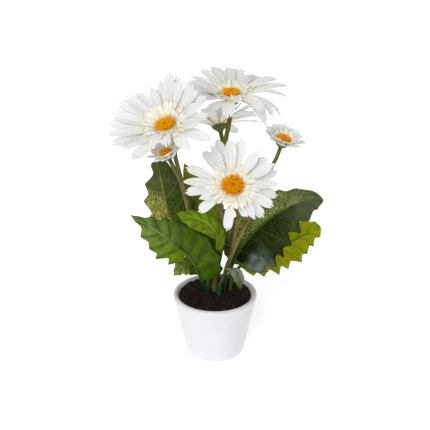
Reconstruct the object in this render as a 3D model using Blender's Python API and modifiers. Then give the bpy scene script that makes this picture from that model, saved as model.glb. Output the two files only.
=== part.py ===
"""Potted gerbera: six white blooms and ten toothed leaves in a white glazed pot.

Metres, +Z up.  The origin is the middle of the pot's underside, and -Y is the front.
"""
import math
import random
from dataclasses import dataclass

import bmesh
import bpy
import numpy as np
from mathutils import Matrix, Vector

MM = 0.001
GAP = 0.3 * MM                # clearance between pieces that rest on each other

# Pot: a straight taper with a rounded lip and a rounded foot
POT_HEIGHT = 70 * MM
RIM_RADIUS = 45 * MM
FOOT_RADIUS = 31 * MM
LIP_RADIUS = 2.6 * MM         # round of the lip, half its thickness
FOOT_ROUND = 3.2 * MM
BODY_INSET = 0.9 * MM         # how far the taper starts inside the lip
WALL = 4.6 * MM
FLOOR = 6 * MM
INNER_BEVEL = 2 * MM
POT_SIDES = 36

# Soil: fills the pot nearly to the lip, a little higher in the middle
SOIL_EDGE = 66.5 * MM
SOIL_MIDDLE = 71 * MM
SOIL_SIDES = 28
SOIL_SHARES = (0.0, 0.35, 0.6, 0.78, 0.9, 0.97, 1.0)  # radii of the rings on its top
HOLE_CLEARANCE = 0.5 * MM
HOLE_SIDES = 8
ROOT_DEPTH = 48 * MM          # level of every stem's cut end in the soil
COLLAR = 73 * MM              # level where a stem leaves its straight foot

# Curves are sampled evenly along their length before sections are placed on them
PATH_SAMPLES = 200

# Flower stems and the green cup under each bloom
STEM_RADIUS = 2.4 * MM
STEM_SIDES = 12
STEM_STATIONS = 9
NECK = 13 * MM                # straight length under the cup
SMALL_BLOOM = 0.8             # blooms under this size have slim stems and coarser discs
SLIM_STEM = 0.9
# Cup sections: height above the stem's top, radius and depth of the scallops, in mm
CUP_PROFILE = ((2.0, 3.4, 0.0), (4.5, 6.6, 0.5), (6.6, 8.6, 0.9), (8.0, 9.6, 1.1), (9.0, 7.8, 0.0))

# Blooms: heights above the stem's top and radii, in mm, on a full-size bloom
CORE_PROFILE = ((9.3, 8.8), (10.3, 11.2), (11.5, 11.3), (12.7, 11.0), (13.6, 10.2))
CORE_TOP = (13.6, 8.6)
DISC_BASE = 13.9
DISC_FOOT_RADIUS = 8.8
DISC_RIM = 14.9
DISC_RADIUS = 10.2
DISC_HEIGHT = 4.8
DISC_SHELLS = 6
DISC_SIDES = (20, 14)         # on a full-size bloom and on a small one
FLORET_RELIEF = 0.9
DISC_MIDDLE = 17.0            # height of the disc's middle, the point a bloom is placed by
ALIKE = (0, 1, 0, 0)           # turn, length, lift and droop of a petal that keeps to its row
FRINGE = 3                     # the core's band that bears the short petals about the disc
CROWDING = 15                  # lift of a stray petal, degrees, that leaves no room for the fringe
PETAL_THICKNESS = 1.25
PETAL_CUP = 0.22              # rise of a petal's edges as a share of its half-width
PETAL_OUTLINE = ((0.28, 0.68), (0.62, 1.0), (0.87, 0.76), (1.0, 0.22))
FRINGE_OUTLINE = ((0.55, 1.0), (1.0, 0.3))

# Leaves: a section has ten points, five on the upper side and five on the lower
PETIOLE_RADIUS = 1.75 * MM
BLADE_THICKNESS = 0.8 * MM
RIB_THICKNESS = 1.7 * MM
PETIOLE_STATIONS = 4
SECTION_POINTS = 10
ACROSS = (-1.0, -0.5, 0.0, 0.5, 1.0)
FULL_WAVE_WIDTH = 8 * MM      # half-width from which the edge is waved in full
TOOTH_SHIFT = 0.3             # how far a notch or tooth may stray, in stations
TOOTH_SIZES = 0.25            # how far a tooth's reach may vary, as a share of the notches
TOOTH_LEAN = 0.25             # lean of the teeth towards the tip, as a share of the half-width
FACE_TURN = 0.6               # share of the blade over which `face_root` turns into `face`


@dataclass(frozen=True)
class Row:
    """One ring of petals: sizes in mm, angles in degrees.  `outline` is (share, width) pairs."""
    length: float
    width: float
    lift: float
    droop: float
    outline: tuple = PETAL_OUTLINE


@dataclass(frozen=True)
class Bloom:
    """A bloom and its stem.

    `middle`, `foot` and `route` are in mm.  Petals on the side `high_side` are lifted by
    `swing` degrees and those across from it lowered; those towards `long_side` are longer
    by the share `stretch`, and those towards `bend_side` droop by `bend` degrees more.
    Sides are angles counted from the right-hand side.  `strays` are the long petals that
    leave this rule: facet, turn, length (0 for a lost petal), lift and droop.
    """
    name: str
    middle: tuple
    facing: tuple
    size: float
    petals: int
    rows: tuple
    foot: tuple
    route: tuple
    swing: float = 0.0
    high_side: float = 90.0
    stretch: float = 0.0
    long_side: float = 0.0
    bend: float = 0.0
    bend_side: float = 0.0
    strays: tuple = ()
    seed: int = 1


@dataclass(frozen=True)
class Leaf:
    """A leaf.

    `route` is its midrib in mm and `face` is where its upper side looks, `face_root` at the
    blade's root.  Pairs are for the halves left and right of the midrib, seen from above
    with the tip ahead: the half-width in mm, the depth of its notches, the share of the
    blade where it is widest, the share where it begins and how far its root sweeps back.
    """
    name: str
    foot: tuple
    route: tuple
    face: tuple
    half_widths: tuple
    blade_start: float
    teeth: int
    colour: str
    cut: tuple = (0.26, 0.26)
    fold: float = 0.25
    curl: float = 0.3
    wave: float = 0.06
    widest: tuple = (0.5, 0.5)
    late: tuple = (0.0, 0.0)
    taper: float = 0.4
    face_root: tuple = ()
    sweep: tuple = (0.0, 0.0)
    seed: int = 1


def full_rows(reach, width, lift, droop):
    """Two rows of long petals and a short inner fringe."""
    return (Row(reach, width, lift, droop),
            Row(reach * 0.86, width * 0.92, lift + 14, droop),
            Row(9.0, 3.4, lift + 40, 6, FRINGE_OUTLINE))


def small_rows(reach, width, lift):
    """The same rows on a small bloom that is only half open."""
    return (Row(reach, width, lift, 4, PETAL_OUTLINE[1:]),
            Row(reach * 0.86, width * 0.92, lift + 16, 4, PETAL_OUTLINE[1:]),
            Row(5.0, 2.6, lift + 34, 0, FRINGE_OUTLINE))


BLOOMS = (
    Bloom("left", (-49.1, -45.0, 282.6), (-0.33, -0.57, 0.75), 1.0, 13,
          full_rows(46.0, 11.5, 24, 8), (-4.5, 14.3),
          ((-14.1, 17.0, 95.0), (-18.2, 17.0, 123.4), (-28.5, 12.0, 168.1), (-37.0, 2.0, 210.5),
           (-41.0, -12.0, 238.0)), swing=9.0, high_side=300.0, stretch=0.08, long_side=130.0,
          strays=((0, 0, 1.04, -4, 5), (1, -2, 0.9, 1, -1), (2, -3, 0.93, -1, 2), (3, 3, 0.83, 1, -3),
                  (4, 0, 0.97, 0, 1), (5, 5, 0.89, -1, 2), (6, -6, 1.09, -1, 1), (7, -5, 0.97, -5, 7),
                  (8, -9, 0.94, -6, 8), (9, -5, 0.93, -6, 8), (10, -4, 0.99, 1, -1), (11, -11, 1.02, 6, -8),
                  (12, -4, 1.1, 3, -5), (13, -7, 1.03, 7, -9), (14, -4, 1.12, 0, -1), (15, -6, 1.04, 7, -9),
                  (16, -10, 1.17, 0, -1), (17, -3, 1.01, 4, -5), (18, 8, 0.9, 42, 34), (19, 0, 0, 0, 0),
                  (20, 0, 0.9, 30, 34), (21, 0, 0, 0, 0), (22, -3, 1.07, -10, 12), (23, 2, 1.07, -7, 9),
                  (24, -1, 1.08, -4, 5), (25, 0, 0.99, 1, -2)), seed=11),
    Bloom("top", (16.5, 30.0, 288.1), (0.04, -0.12, 0.99), 1.0, 13,
          full_rows(46.0, 11.5, 15, 16), (-1.3, 0.5),
          ((1.1, 2.0, 92.0), (5.3, 3.5, 113.0), (7.9, 6.0, 141.7), (6.3, 10.0, 166.7),
           (10.4, 22.0, 234.3)), swing=7.0, high_side=200.0, stretch=0.1, bend=22.0, bend_side=340.0,
          strays=((0, -1, 1.16, 5, -5), (1, 1, 1.08, 11, -16), (2, -3, 1.1, 6, -9), (3, 7, 0.98, 8, -10),
                  (5, 3, 1.02, 4, -5), (6, 2, 1.01, 2, -2), (7, 1, 1.03, 4, -6), (8, -2, 1.01, 2, -3),
                  (9, -5, 0.99, 5, -7), (10, 5, 1.13, -2, 0), (11, -2, 1.01, 0, -2), (12, 0, 0.97, 1, -1),
                  (13, 0, 0.87, 6, -7), (14, 4, 0.89, 3, -3), (15, 4, 0.91, 5, -6), (17, 0, 0.96, 3, -3),
                  (18, 0, 0, 0, 0), (19, -2, 0.92, 17, 10), (20, -2, 0.82, 43, 24), (21, 0, 0, 0, 0),
                  (22, 0, 0.88, 20, 8), (23, 0, 0.89, 6, 10), (24, 0, 1.06, 3, 9), (25, 3, 0.95, 6, 4)),
          seed=12),
    Bloom("front", (17.8, -60.0, 223.7), (0.04, -0.61, 0.79), 1.0, 13,
          full_rows(38.0, 10.5, 5, 10), (10.0, 8.0),
          ((11.2, 9.0, 89.0), (18.2, 7.0, 114.3), (22.2, 0.0, 142.3), (24.3, -16.0, 169.8)),
          swing=20.0, stretch=0.08, long_side=90.0,
          strays=((0, -2, 1.01, -1, 2), (1, 2, 0.93, -1, 2), (2, -4, 1.12, -2, 1), (3, -2, 0.98, -2, 2),
                  (4, -10, 1.03, -3, 4), (5, 3, 1.06, 1, -2), (6, 2, 1.15, 0, -1), (7, 2, 1.02, 0, 0),
                  (8, 3, 1.13, -2, 1), (9, -2, 0.97, 0, 1), (10, 0, 0, 0, 0), (11, -5, 0.98, 0, -1),
                  (12, 4, 1.11, -4, 4), (13, 0, 0.92, 0, 1), (14, 6, 0.79, 3, -3), (15, 0, 0.82, 1, 1),
                  (16, 0, 0, 0, 0), (17, 0, 0, 0, 0), (18, 9, 1.17, -3, 2), (19, 0, 0, 0, 0),
                  (20, 0, 0, 0, 0), (21, 2, 0.61, 4, -4), (22, -5, 0.93, -1, 2), (23, -3, 0.93, -3, 5),
                  (24, -2, 1.13, -3, 2), (25, 1, 0.93, -1, 2)), seed=13),
    Bloom("back", (3.5, 70.0, 242.0), (-0.18, 0.58, 0.79), 0.85, 11,
          full_rows(32.0, 9.5, 22, 10), (3.0, 11.5),
          ((2.2, 17.0, 92.3), (7.0, 33.0, 155.5), (10.5, 46.0, 200.0)), swing=16.0, high_side=160.0,
          stretch=0.16,
          strays=((1, -1, 1.03, 0, 0), (2, -13, 1.26, 22, 1), (3, 4, 0.96, 1, 19), (20, 0, 1.03, 2, -3),
                  (21, 0, 1.02, 0, 0)), seed=14),
    Bloom("right", (70.0, -10.0, 253.4), (0.29, -0.14, 0.95), 0.72, 11,
          small_rows(16.0, 7.4, 32), (4.3, 4.0),
          ((8.8, 2.0, 86.0), (19.1, -1.0, 119.1), (35.5, -6.0, 162.7), (53.0, -8.5, 212.0)), seed=15),
    Bloom("low", (-48.5, -51.5, 255.5), (-0.36, -0.2, 0.91), 0.62, 9,
          small_rows(13.5, 6.8, 36), (-4.6, 7.3),
          ((-14.0, 10.0, 97.5), (-18.6, 9.0, 128.6), (-28.1, -6.0, 174.3), (-36.4, -30.0, 219.0)),
          seed=16),
)

LEAVES = (
    Leaf("leaf_front_left", (-6.5, -6.5),
         ((-12.0, -11.0, 85.8), (-24.6, -24.0, 122.6), (-47.5, -42.0, 154.4), (-70.6, -54.0, 178.1),
          (-84.1, -58.0, 189.3)),
         (0.1, -0.8, 0.6), (25.0, 30.0), 0.14, 7, "mid", cut=(0.36, 0.15), widest=(0.26, 0.3),
         late=(0.36, 0.0), taper=0.5, face_root=(0.15, -0.95, 0.1), sweep=(0.0, 0.5), seed=21),
    Leaf("leaf_mid_left", (-8.0, 1.0),
         ((-7.0, -1.0, 92.0), (0.5, -6.0, 119.2), (1.5, -13.5, 145.2), (-9.5, -21.0, 164.2),
          (-24.0, -29.0, 173.8), (-38.8, -35.0, 181.2)),
         (0.3, -0.8, 0.5), (13.0, 11.5), 0.26, 6, "bright", cut=(0.08, 0.1),
         late=(0.35, 0.0), taper=0.3, seed=22),
    Leaf("leaf_tall_left", (-11.0, 17.0),
         ((-17.4, 24.0, 90.2), (-33.5, 29.0, 119.8), (-48.3, 32.0, 146.9), (-55.5, 34.0, 175.5),
          (-59.5, 38.0, 197.0), (-61.6, 44.0, 211.8)),
         (0.0, -0.9, 0.35), (24.0, 30.0), 0.2, 5, "dark", cut=(0.34, 0.2), widest=(0.42, 0.42),
         taper=0.25, seed=33),
    Leaf("leaf_tall_back", (-4.0, 22.5),
         ((-3.3, 30.0, 87.1), (-4.3, 41.0, 124.5), (-10.8, 50.0, 153.4), (-20.5, 54.0, 177.7),
          (-33.2, 56.0, 196.4)),
         (0.1, -0.9, 0.35), (24.0, 22.0), 0.22, 6, "bright", cut=(0.18, 0.18), widest=(0.5, 0.36),
         taper=0.4, seed=24),
    Leaf("leaf_right", (16.5, 4.0),
         ((17.3, 12.0, 91.0), (26.4, 16.0, 113.1), (41.2, 15.0, 134.6), (67.0, 10.0, 160.9),
          (86.9, 10.0, 171.4), (102.2, 14.0, 174.2), (114.2, 18.0, 170.7)),
         (-0.1, -0.8, 0.6), (27.0, 43.0), 0.2, 6, "dark", cut=(0.12, 0.22), widest=(0.32, 0.24),
         taper=0.1, sweep=(0.0, 0.1), seed=25),
    Leaf("leaf_low_right", (17.0, 11.5),
         ((25.0, 21.0, 88.0), (51.1, 31.0, 98.0), (76.2, 38.0, 107.6), (98.1, 43.0, 118.0),
          (115.0, 47.0, 124.5)),
         (0.1, 0.95, 0.25), (31.0, 24.0), 0.22, 7, "yellow", cut=(0.34, 0.2), widest=(0.42, 0.6),
         taper=0.1, seed=26),
    Leaf("leaf_small_front", (10.5, 0.5),
         ((11.8, -2.8, 90.4), (15.0, -7.8, 102.1), (20.5, -14.5, 105.5), (25.0, -21.0, 99.0),
          (27.0, -27.0, 88.0)),
         (0.4, -0.2, 0.9), (9.0, 9.0), 0.36, 4, "dark", cut=(0.15, 0.15), fold=0.1, curl=0.15,
         seed=27),
    Leaf("leaf_low_left", (-11.0, 9.5),
         ((-15.5, 10.0, 84.0), (-21.5, 7.0, 95.0), (-28.0, 3.0, 101.0), (-36.0, -2.0, 101.0),
          (-43.6, -7.0, 94.0)),
         (-0.2, -0.6, 0.78), (13.0, 11.0), 0.3, 4, "mid", cut=(0.2, 0.16), seed=28),
    Leaf("leaf_back", (4.0, 19.5),
         ((4.0, 30.0, 86.0), (1.0, 48.0, 112.0), (-4.0, 70.0, 130.0), (-10.0, 90.0, 132.0),
          (-16.0, 106.0, 124.0)),
         (0.0, 0.1, 1.0), (19.0, 19.0), 0.25, 7, "mid", seed=29),
    Leaf("leaf_back_right", (11.0, 16.0),
         ((17.0, 31.0, 92.0), (30.0, 48.0, 118.0), (47.0, 66.0, 134.0), (64.0, 82.0, 136.0)),
         (-0.2, -0.1, 1.0), (18.0, 18.0), 0.25, 6, "dark", seed=30),
)

# Young leaves: narrow pointed sheaths in one clump.  Foot offset, lean and height in mm.
CLUMP_FOOT = (4.3, -5.0)
CLUMP_RADIUS = 2.6 * MM
CLUMP_SIDES = 8
CLUMP_PROFILE = ((ROOT_DEPTH, 1.0), (COLLAR - 2 * MM, 1.0), (COLLAR + 1 * MM, 0.7))
YOUNG_LEAVES = ((-0.8, 0.3, -1.2, 0.6, 15.0), (0.9, 0.7, 0.8, 0.2, 19.0), (0.2, -0.8, 3.4, -3.4, 32.0))
SPEAR_PROFILE = ((0.0, 0.8), (0.3, 1.35), (0.65, 1.15), (1.0, 0.25))  # share of height, radius in mm
SPEAR_SIDES = 6

COLOURS = {
    "pot": ((0.86, 0.85, 0.88), 0.16), "soil": ((0.02, 0.01, 0.006), 0.95),
    "petals": ((0.9, 0.9, 0.86), 0.6), "disc": ((0.9, 0.32, 0.01), 0.8),
    "stem": ((0.12, 0.12, 0.035), 0.55), "young": ((0.01, 0.08, 0.03), 0.5),
    "mid": ((0.11, 0.22, 0.03), 0.45), "bright": ((0.17, 0.3, 0.01), 0.45),
    "dark": ((0.03, 0.07, 0.02), 0.3), "yellow": ((0.3, 0.36, 0.01), 0.5),
}


# ---------------------------------------------------------------- helpers

def clear_scene():
    """Remove every object that the file opened with."""
    for item in list(bpy.data.objects):
        bpy.data.objects.remove(item, do_unlink=True)


def collection(name):
    """A new collection linked to the scene."""
    group = bpy.data.collections.new(name)
    bpy.context.scene.collection.children.link(group)
    return group


def material(name):
    """The Principled material of one colour in COLOURS."""
    found = bpy.data.materials.get(name)
    if found:
        return found
    colour, roughness = COLOURS[name]
    made = bpy.data.materials.new(name)
    made.use_nodes = True
    shader = made.node_tree.nodes["Principled BSDF"]
    shader.inputs["Base Color"].default_value = (*colour, 1.0)
    shader.inputs["Roughness"].default_value = roughness
    return made


def add_object(name, bm, group, colour=None):
    """Turn a bmesh into a named object with outward faces."""
    bmesh.ops.recalc_face_normals(bm, faces=bm.faces)
    mesh = bpy.data.meshes.new(name)
    bm.to_mesh(mesh)
    bm.free()
    if colour:
        mesh.materials.append(material(colour))
    made = bpy.data.objects.new(name, mesh)
    group.objects.link(made)
    return made


def make_cutter(made):
    """Show a cutter as a wire and keep it out of the model."""
    made.hide_render = True
    made.display_type = "WIRE"


def apply_modifiers(made):
    """Replace an object's mesh by its evaluated one."""
    bpy.context.view_layer.update()
    shape = bpy.data.meshes.new_from_object(made.evaluated_get(bpy.context.evaluated_depsgraph_get()))
    made.modifiers.clear()
    made.data = shape


def fuse(base, group, name):
    """Join every object of a collection to the base with one union, then drop the collection."""
    union = base.modifiers.new(name, "BOOLEAN")
    union.operation = "UNION"
    union.operand_type = "COLLECTION"
    union.collection = group
    union.solver = "MANIFOLD"
    apply_modifiers(base)
    for item in list(group.objects):
        bpy.data.objects.remove(item, do_unlink=True)
    bpy.data.collections.remove(group)


def turned(name, profile, sides, group, colour):
    """A solid turned about +Z from a profile of (radius, height), its outer side top to bottom."""
    mesh = bpy.data.meshes.new(name)
    points = [(radius, 0.0, height) for radius, height in profile]
    mesh.from_pydata(points, [(i, i + 1) for i in range(len(points) - 1)], [])
    mesh.materials.append(material(colour))
    made = bpy.data.objects.new(name, mesh)
    group.objects.link(made)
    screw = made.modifiers.new("turn", "SCREW")
    screw.steps = screw.render_steps = sides
    screw.use_merge_vertices = True
    screw.merge_threshold = 0.00001
    return made


def arc(middle, radius, start, end, steps):
    """Points on an arc in the profile plane, angles in degrees."""
    return [(middle[0] + radius * math.cos(math.radians(start + (end - start) * i / steps)),
             middle[1] + radius * math.sin(math.radians(start + (end - start) * i / steps)))
            for i in range(steps + 1)]


def smooth_path(points, count):
    """`count` places on a smooth curve through the points, and the direction at each."""
    knots = np.array(points, dtype=float)
    times = np.concatenate(([0.0], np.cumsum(np.linalg.norm(np.diff(knots, axis=0), axis=1))))
    slopes = np.gradient(knots, times, axis=0)
    at = np.linspace(0.0, times[-1], count)
    span = np.clip(np.searchsorted(times, at, side="right") - 1, 0, len(times) - 2)
    width = times[span + 1] - times[span]
    s = (at - times[span]) / width
    s2, s3 = s * s, s * s * s
    places = ((2 * s3 - 3 * s2 + 1)[:, None] * knots[span]
              + (s3 - 2 * s2 + s)[:, None] * width[:, None] * slopes[span]
              + (3 * s2 - 2 * s3)[:, None] * knots[span + 1]
              + (s3 - s2)[:, None] * width[:, None] * slopes[span + 1])
    directions = np.gradient(places, axis=0)
    return ([Vector(place) for place in places],
            [Vector(direction).normalized() for direction in directions])


def skin(bm, near, rings):
    """Carry a ring of vertices on through rings of points and cap the end.

    The first half of a ring is its upper side and the second half its lower side; both
    sides are split along the same diagonals, so that a thin twisted blade never crosses itself.
    """
    count = len(near)
    for points in rings:
        far = [bm.verts.new(point) for point in points]
        for k in range(count):
            n = (k + 1) % count
            if k < count // 2:
                bm.faces.new((near[k], near[n], far[n]))
                bm.faces.new((near[k], far[n], far[k]))
            else:
                bm.faces.new((near[k], near[n], far[k]))
                bm.faces.new((near[n], far[n], far[k]))
        near = far
    bm.faces.new(near)


def loft(bm, rings):
    """Skin rings of equal length and cap both ends."""
    first = [bm.verts.new(point) for point in rings[0]]
    bm.faces.new(first)
    skin(bm, first, rings[1:])


# ---------------------------------------------------------------- pot and soil

def inner_radius(height):
    """Radius of the pot's inner wall at a height."""
    low, high = FOOT_RADIUS - WALL, RIM_RADIUS - BODY_INSET - WALL
    return low + (high - low) * (height - FLOOR) / (POT_HEIGHT - FLOOR)


def make_pot(group):
    """The glazed pot: flat underside, rounded foot, straight taper and a rounded lip."""
    lip = (RIM_RADIUS - LIP_RADIUS, POT_HEIGHT - LIP_RADIUS)
    foot = (FOOT_RADIUS - FOOT_ROUND, FOOT_ROUND)
    profile = [(0.0, FLOOR), (inner_radius(FLOOR) - INNER_BEVEL, FLOOR)]
    profile += [(inner_radius(height), height) for height in (FLOOR + INNER_BEVEL, lip[1])]
    profile += arc(lip, LIP_RADIUS, 150, -30, 6)
    profile += [(RIM_RADIUS - BODY_INSET, POT_HEIGHT - 3 * LIP_RADIUS)]
    profile += arc(foot, FOOT_ROUND, -8, -90, 3)
    profile += [(0.0, 0.0)]
    return turned("pot", profile, POT_SIDES, group, "pot")


def soil_height(radius):
    """Level of the soil's heaped top at a radius: nearly flat, and rounded down at the wall."""
    share = min(1.0, radius / inner_radius(SOIL_EDGE))
    return SOIL_EDGE + (SOIL_MIDDLE - SOIL_EDGE) * math.sqrt(1 - share ** 5)


def make_soil(group, cutters):
    """Soil with a plain round hole for each stem."""
    side = inner_radius(SOIL_EDGE) - GAP
    profile = [(side * share, soil_height(side * share)) for share in SOIL_SHARES]
    profile += [(inner_radius(FLOOR + 3 * MM) - GAP, FLOOR + 3 * MM),
                (inner_radius(FLOOR) - 3 * MM, FLOOR + GAP), (0.0, FLOOR + GAP)]
    soil = turned("soil", profile, SOIL_SIDES, group, "soil")
    holes = [(bloom.foot, STEM_RADIUS) for bloom in BLOOMS]
    holes += [(leaf.foot, PETIOLE_RADIUS) for leaf in LEAVES]
    holes += [(CLUMP_FOOT, CLUMP_RADIUS)]
    for number, (foot, radius) in enumerate(holes):
        bm = bmesh.new()
        deep = ROOT_DEPTH - HOLE_CLEARANCE
        reach = COLLAR + 2 * MM - deep
        bmesh.ops.create_cone(bm, cap_ends=True, segments=HOLE_SIDES, depth=reach,
                              radius1=radius + HOLE_CLEARANCE, radius2=radius + HOLE_CLEARANCE,
                              matrix=Matrix.Translation((foot[0] * MM, foot[1] * MM, deep + reach / 2)))
        make_cutter(add_object(f"hole_{number}", bm, cutters))
    cut = soil.modifiers.new("holes", "BOOLEAN")
    cut.operation = "DIFFERENCE"
    cut.operand_type = "COLLECTION"
    cut.collection = cutters
    return soil


# ---------------------------------------------------------------- blooms

def bloom_frame(bloom):
    """Axes of a bloom: across, up and facing, with its stem's top."""
    facing = Vector(bloom.facing).normalized()
    across = (Vector((1, 0, 0)) - facing * facing.x).normalized()
    up = facing.cross(across)
    top = (Vector(bloom.middle) - facing * DISC_MIDDLE * bloom.size) * MM
    return across, up, facing, top


def ring_about(middle, side, other, radii):
    """Points round a middle, one for each radius."""
    return [middle + (side * math.cos(angle) + other * math.sin(angle)) * radius
            for angle, radius in ((math.tau * k / len(radii), radius) for k, radius in enumerate(radii))]


def make_stem(bloom, group):
    """A flower stem that widens into a cup of pointed bracts, in one body."""
    facing, top = bloom_frame(bloom)[2:]
    foot = Vector((bloom.foot[0] * MM, bloom.foot[1] * MM, COLLAR))
    route = [foot] + [Vector(point) * MM for point in bloom.route]
    route += [top - facing * NECK, top]
    places, directions = smooth_path(route, STEM_STATIONS)
    places.insert(0, Vector((foot.x, foot.y, ROOT_DEPTH)))
    directions.insert(0, Vector((0, 0, 1)))
    directions[-1] = facing
    side = Vector((1, 0, 0))
    rings = []
    radius = STEM_RADIUS * (SLIM_STEM if bloom.size < SMALL_BLOOM else 1.0)
    for place, direction in zip(places, directions):
        side = (side - direction * side.dot(direction)).normalized()
        rings.append(ring_about(place, side, direction.cross(side), [radius] * STEM_SIDES))
    other = facing.cross(side)
    for height, radius, scallop in CUP_PROFILE:
        radii = [(radius + scallop * (-1) ** k) * bloom.size * MM for k in range(STEM_SIDES)]
        rings.append(ring_about(top + facing * height * bloom.size * MM, side, other, radii))
    bm = bmesh.new()
    loft(bm, rings)
    return add_object(f"stem_{bloom.name}", bm, group, "stem")


def petal_rings(bloom, row, azimuth, root, lengthen, lift, droop, twist):
    """Sections of one petal past its root: a cupped blade of four points each, out to its tip."""
    across, up, facing, top = bloom_frame(bloom)
    radial = across * math.cos(azimuth) + up * math.sin(azimuth)
    sideways = facing.cross(radial)
    radius, height = root
    rings, before = [], 0.0
    for share, width in row.outline:
        slope = lift - droop * (before + share)
        step = row.length * lengthen * (share - before)
        radius += step * math.cos(slope)
        height += step * math.sin(slope)
        before = share
        normal = facing * math.cos(slope) - radial * math.sin(slope)
        lean = twist * share
        flat = sideways * math.cos(lean) + normal * math.sin(lean)
        normal = normal * math.cos(lean) - sideways * math.sin(lean)
        middle = radial * radius + facing * height
        half = row.width * 0.5 * width
        cup = half * PETAL_CUP * (1 - share * 0.5)
        thick = PETAL_THICKNESS * 0.5
        ring = (middle - flat * half + normal * cup, middle + normal * thick,
                middle + flat * half + normal * cup, middle - normal * thick)
        rings.append([top + point * MM for point in ring])
    return rings


def make_petals(bloom, group):
    """The white part of a bloom: every petal grows from its own facet of a low core."""
    across, up, facing, top = bloom_frame(bloom)
    facets = 2 * bloom.petals
    strays = {facet: changes for facet, *changes in bloom.strays}
    draw = random.Random(bloom.seed)
    bm = bmesh.new()
    levels = [[bm.verts.new(point) for point in
               ring_about(top + facing * height * bloom.size * MM, across, up,
                          [radius * bloom.size * MM] * facets)] for height, radius in CORE_PROFILE]
    bm.faces.new(levels[0])
    skin(bm, levels[-1], [ring_about(top + facing * CORE_TOP[0] * bloom.size * MM, across, up,
                                     [CORE_TOP[1] * bloom.size * MM] * facets)])
    for band, (low, high) in enumerate(zip(levels, levels[1:])):
        for k in range(facets):
            n = (k + 1) % facets
            root = (high[k], high[n], low[n], low[k])
            if band == 0 or (band + k) % 2:
                bm.faces.new(root)
                continue
            row = bloom.rows[band - 1]
            azimuth = math.tau * (k + 0.5) / facets
            turned, longer, lifted, drooped = strays.get(k, ALIKE) if band < FRINGE else ALIKE
            about = [strays.get(near % facets, ALIKE)[2] for near in (k - 1, k, k + 1)]
            if band == FRINGE and max(about) > CROWDING:
                longer = 0
            lift = math.radians(row.lift + draw.uniform(-2.5, 2.5) + lifted
                                + bloom.swing * math.cos(azimuth - math.radians(bloom.high_side)))
            lengthen = longer * draw.uniform(0.92, 1.06) * (
                1 + bloom.stretch * math.cos(azimuth - math.radians(bloom.long_side)))
            bend = bloom.bend * max(0.0, math.cos(azimuth - math.radians(bloom.bend_side)))
            droop = math.radians(row.droop + drooped + (bend if band < FRINGE else 0.0))
            height = (CORE_PROFILE[band][0] + CORE_PROFILE[band + 1][0]) * 0.5 * bloom.size
            start = (CORE_PROFILE[band][1] * bloom.size, height)
            turn = azimuth + math.radians(draw.uniform(-3, 3) + turned)
            twist = math.radians(draw.uniform(-16, 16))
            if longer:
                skin(bm, root, petal_rings(bloom, row, turn, start, lengthen, lift, droop, twist))
            else:
                bm.faces.new(root)
    return add_object(f"petals_{bloom.name}", bm, group, "petals")


def make_disc(bloom, group):
    """The orange middle: a dome raised into small florets in a chequer."""
    across, up, facing, top = bloom_frame(bloom)
    sides = DISC_SIDES[bloom.size < SMALL_BLOOM]
    rings = [ring_about(top + facing * DISC_BASE * bloom.size * MM, across, up,
                        [DISC_FOOT_RADIUS * bloom.size * MM] * sides)]
    for shell in range(DISC_SHELLS):
        share = 1 - shell / DISC_SHELLS
        level = DISC_RIM + DISC_HEIGHT * math.sqrt(1 - share ** 3)
        radii = [DISC_RADIUS * share * bloom.size * MM] * sides
        ring = []
        for k, point in enumerate(ring_about(top, across, up, radii)):
            raised = FLORET_RELIEF if (k + shell) % 2 and shell < DISC_SHELLS - 1 else 0.0
            ring.append(point + facing * (level + raised) * bloom.size * MM)
        rings.append(ring)
    bm = bmesh.new()
    loft(bm, rings)
    return add_object(f"disc_{bloom.name}", bm, group, "disc")


# ---------------------------------------------------------------- leaves

def blade_outline(leaf, half, share):
    """Width of half a blade without its teeth, from 0 at both ends to 1 at the widest."""
    share = max(0.0, share - leaf.late[half]) / (1 - leaf.late[half])
    power = math.log(0.5) / math.log(leaf.widest[half])
    return max(0.0, math.sin(math.pi * share ** power)) ** (0.55 + leaf.taper * share)


def blade_frames(leaf, directions, first):
    """Sideways direction at each place: square to the face on the blade, carried down the stalk."""
    face, root = Vector(leaf.face), Vector(leaf.face_root or leaf.face)
    sides = []
    for k, direction in enumerate(directions):
        share = min(1.0, max(0.0, (k - first) / (len(directions) - 1 - first)) / FACE_TURN)
        looks = root.lerp(face, share * share * (3 - 2 * share))
        sides.append(direction.cross(looks).normalized())
    for k in range(first - 1, -1, -1):
        sides[k] = (sides[k + 1] - directions[k] * sides[k + 1].dot(directions[k])).normalized()
    return sides


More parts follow.
